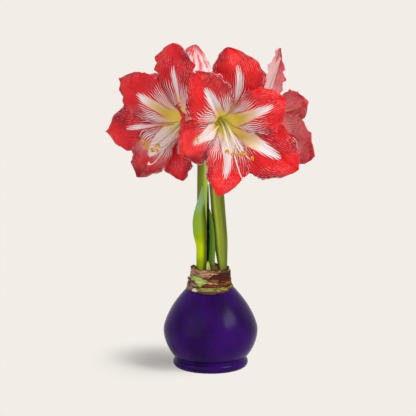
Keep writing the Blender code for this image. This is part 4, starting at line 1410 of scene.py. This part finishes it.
def bud_material():
    """The bud runs from lime at its foot to a bloomy blue-green at its tip, with painted shade on the side
    that faces +X."""
    bud = Finish("bud", (0.35, 0.45, 0.02), 0.42, 0.05)
    place = bud.place()
    fibres = placed(fibre_group(), bud.tree, Vector=place, Blotch_Size=70.0)
    height = split(place)[2] + fibres["Blotch"] * 0.008
    colour = (0.25, 0.34, 0.0)
    for low, high, shade in BUD_SHADES:
        colour = mix(step(low, high, height), colour, shade)
    # painted shade on the side that faces +X, below the tip
    shaded = step(0.05, 0.80, bud.facing()) * (1.0 - step(0.186, 0.204, height))
    colour = mix(shaded * 0.95, colour, (0.065, 0.090, 0.0))
    bud.put("Base Color", mix(fibres["Streaks"] * 0.10, colour, (0.50, 0.60, 0.05)))
    bud.relief(fibres["Streaks"], 0.4, 0.0003)
    return bud.material


class AMARYLLIS_OT_bud(bpy.types.Operator):
    """The closed bud on its short stalk"""

    bl_idname = "amaryllis.bud"
    bl_label = "Bud"

    def execute(self, context):
        piece("bud_sheath", bud_solid(), [bud_material()], ("bud", "bud_stalk"))
        return {"FINISHED"}


# ---- bracts

# middle and radius: of the stalk beside it. heading and height: where it stands there. reach and rise: how
# far out and up its tip is.
Bract = namedtuple("Bract", "middle radius heading height reach rise width")
BRACTS = {
    "bract_left_1": Bract((-9.1, 9.4), 6.3, 165, 250.5, 15, 34, 13),
    "bract_left_2": Bract((-9.1, 9.4), 6.3, 40, 250.5, 12, 38, 12),
    "bract_right_1": Bract((3.8, -7.1), 8.1, -30, 250.5, 14, 30, 14),
    "bract_right_2": Bract((3.8, -7.1), 8.1, 125, 250.5, 3, 30, 11),
}
BRACT_WALL = 0.4


def bract_solid(bract, rows=50, cols=25):
    """A papery leaf that hugs the side of a scape's top and leans away above it: its midrib is a cubic and
    its section an arc of about the scape's own radius, crumpled a little."""
    out, across = level_ways(bract.heading)
    foot = np.array([*bract.middle, bract.height]) + out * (bract.radius + GAP + 0.6)
    top = foot + out * bract.reach + [0, 0, bract.rise]
    bend = top - out * 0.1 * bract.reach - [0, 0, 0.4 * bract.rise]
    line = bezier(foot, foot + [0, 0, 0.45 * bract.rise], bend, top, rows)[:, None]
    v, u = grid(rows, cols)
    curve = bract.radius + 1
    half = bract.width / 2 * np.sqrt(1 - 0.96 * v**2)
    crumple = 0.35 * waves(3 * u, 9 * v, bract.heading / 40) * v
    side = curve * np.sin(u * half / curve)
    back = curve * (1 - np.cos(u * half / curve)) - crumple
    middle = line + across * side[..., None] - out * back[..., None]
    return sheet_solid(middle + out * BRACT_WALL / 2, middle - out * BRACT_WALL / 2, vectors(u, v, 0.0))


def bract_material():
    """Dry brown paper with parallel veins, still green at the foot."""
    bract = Finish("dry bract", (0.45, 0.33, 0.2), 0.7, 0.25)
    u, v, _ = split(bract.attribute("marks"))
    lines = noise(join(u * 12.0, v * 4.0), 1.0, 4.0)
    colour = mix(step(0.35, 0.65, lines), (0.30, 0.19, 0.10), (0.58, 0.45, 0.28))
    bract.put("Base Color", mix(1.0 - step(0.0, 0.35, v), colour, (0.35, 0.38, 0.12)))
    bract.relief(lines, 0.7, 0.0004)
    return bract.material


class AMARYLLIS_OT_bracts(bpy.types.Operator):
    """The dry bracts at the top of each flower stalk"""

    bl_idname = "amaryllis.bracts"
    bl_label = "Bracts"

    def execute(self, context):
        material = bract_material()
        for name, bract in BRACTS.items():
            piece(f"{name}_paper", bract_solid(bract), [material], (name,))
        return {"FINISHED"}


# ---- stage: from here on, places and sizes are metres


class AmaryllisStage(bpy.types.PropertyGroup):
    backdrop: colour_property("Backdrop", "Colour of the floor and the background", (0.888, 0.847, 0.799))
    key: FloatProperty(
        name="Key lamp", description="Power of the key lamp", subtype="POWER", unit="POWER", default=42.0
    )
    fill: FloatProperty(
        name="Fill", description="Strength of the light from all round", min=0, max=3, default=0.5
    )


CAMERA_PLACE = (-0.003, -1.5, 0.40)
CAMERA_PITCH = 8.09  # degrees below level
CAMERA_LENS = 113.3
CAMERA_SENSOR = 36
FLOOR_RADIUS = 0.9
FLOOR_TINT = (0.92, 0.97, 0.99)  # of the floor under the shadow, against the backdrop
SHADOW_MIDDLE = (-0.066, 0.027)
DEPTH_SHARE = 0.75  # what a step from front to back counts in the distance from there
LAMP_AIM = (0, 0, 0.2)
Lamp = namedtuple("Lamp", "place size share colour")  # share: of the key lamp's power
LAMPS = {
    "key lamp": Lamp((1.83, -1.19, 1.56), 1.05, 1.0, (1.0, 0.985, 0.965)),
    "front lamp": Lamp((-1.65, -1.80, 1.10), 2.4, 0.62, (1.0, 0.99, 0.98)),
}


def make_background(scene, settings):
    """The world lights the plant evenly, and shows the backdrop colour to the camera."""
    world = bpy.data.worlds.new("studio")
    world.use_nodes = True
    scene.world = world
    light = world.node_tree.nodes["Background"]
    fill(light.inputs["Color"], (1.0, 0.985, 0.97))
    fill(light.inputs["Strength"], settings.fill)
    seen = add_node(world.node_tree, "ShaderNodeBackground", {"Color": settings.backdrop})
    target = world.node_tree.nodes["World Output"].inputs[0]
    mixed_shader(seen_by_camera(world.node_tree), light, seen, target)


def floor_material(settings):
    """A matt floor that fades into the plain backdrop colour away from the middle of the shadow: the
    distance from there runs through a step. Light that only spreads meets the matt floor everywhere."""
    lit = [channel * share for channel, share in zip(settings.backdrop, FLOOR_TINT)]
    floor = Finish("floor", lit, 0.9, 0.0)
    plain = add_node(floor.tree, "ShaderNodeEmission", {"Color": settings.backdrop})
    x, y, _ = split(floor.place())
    offset = join(x - SHADOW_MIDDLE[0], (y - SHADOW_MIDDLE[1]) * DEPTH_SHARE)
    distance = output_of(floor.tree, "ShaderNodeVectorMath", {0: offset}, "Value", operation="LENGTH")
    far = step(0.005, 0.085, distance) * seen_by_camera(floor.tree)
    mixed_shader(far, floor.shader, plain, floor.tree.nodes["Material Output"].inputs[0])
    return floor.material


def make_floor(settings):
    """A round floor, flat at the height of the foot."""
    angle = full_turn(96)
    verts = vectors(FLOOR_RADIUS * np.cos(angle), FLOOR_RADIUS * np.sin(angle), 0)
    mesh = bpy.data.meshes.new("floor")
    mesh.from_pydata(verts, [], [list(range(len(verts)))])
    mesh.materials.append(floor_material(settings))
    stand("floor", mesh)


def make_lamp(name, lamp, power):
    """A square lamp that shines on the middle of the plant."""
    data = bpy.data.lights.new(name, "AREA")
    data.energy = power * lamp.share
    data.size = lamp.size
    data.color = lamp.colour
    holder = stand(name, data)
    holder.location = lamp.place
    holder.rotation_euler = (Vector(LAMP_AIM) - Vector(lamp.place)).to_track_quat("-Z", "Y").to_euler()


def make_camera(scene):
    """A long lens in front of the plant, a little above it."""
    data = bpy.data.cameras.new("camera")
    data.lens = CAMERA_LENS
    data.sensor_width = CAMERA_SENSOR
    holder = stand("camera", data)
    holder.location = CAMERA_PLACE
    holder.rotation_euler = (math.radians(90 - CAMERA_PITCH), 0, 0)
    scene.camera = holder


class AMARYLLIS_OT_stage(bpy.types.Operator):
    """Floor, background, lamps and camera"""

    bl_idname = "amaryllis.stage"
    bl_label = "Stage"

    def execute(self, context):
        scene, settings = context.scene, context.scene.amaryllis_stage
        scene.view_settings.view_transform = "Standard"
        make_background(scene, settings)
        make_floor(settings)
        for name, lamp in LAMPS.items():
            make_lamp(name, lamp, settings.key)
        make_camera(scene)
        return {"FINISHED"}


# ---- panel and run

OPERATORS = (
    AMARYLLIS_OT_wax,
    AMARYLLIS_OT_neck,
    AMARYLLIS_OT_petals,
    AMARYLLIS_OT_stamens,
    AMARYLLIS_OT_stalks,
    AMARYLLIS_OT_bud,
    AMARYLLIS_OT_leaves,
    AMARYLLIS_OT_bracts,
    AMARYLLIS_OT_stage,
)
SETTINGS = {
    "amaryllis_wax": AmaryllisWax,
    "amaryllis_bloom": AmaryllisBloom,
    "amaryllis_stage": AmaryllisStage,
}


class AMARYLLIS_PT_panel(bpy.types.Panel):
    """Lists the pieces, and the sizes and colours that can be changed"""

    bl_idname = "AMARYLLIS_PT_panel"
    bl_label = "Waxed amaryllis"
    bl_space_type = "VIEW_3D"
    bl_region_type = "UI"
    bl_category = "Amaryllis"

    def draw(self, context):
        for name, group in SETTINGS.items():
            values = getattr(context.scene, name)
            for key in group.__annotations__:
                self.layout.prop(values, key)
        for operator in OPERATORS:
            self.layout.operator(operator.bl_idname)


def register():
    for group in (*SETTINGS.values(), *OPERATORS, AMARYLLIS_PT_panel):
        bpy.utils.register_class(group)
    for name, group in SETTINGS.items():
        setattr(bpy.types.Scene, name, PointerProperty(type=group))


def unregister():
    for name in SETTINGS:
        delattr(bpy.types.Scene, name)
    for group in reversed((*SETTINGS.values(), *OPERATORS, AMARYLLIS_PT_panel)):
        bpy.utils.unregister_class(group)


def main():
    register()
    bpy.ops.amaryllis.wax()
    bpy.ops.amaryllis.neck()
    bpy.ops.amaryllis.petals()
    bpy.ops.amaryllis.stamens()
    bpy.ops.amaryllis.stalks()
    bpy.ops.amaryllis.bud()
    bpy.ops.amaryllis.leaves()
    bpy.ops.amaryllis.bracts()
    bpy.ops.amaryllis.stage()


if __name__ == "__main__":
    main()
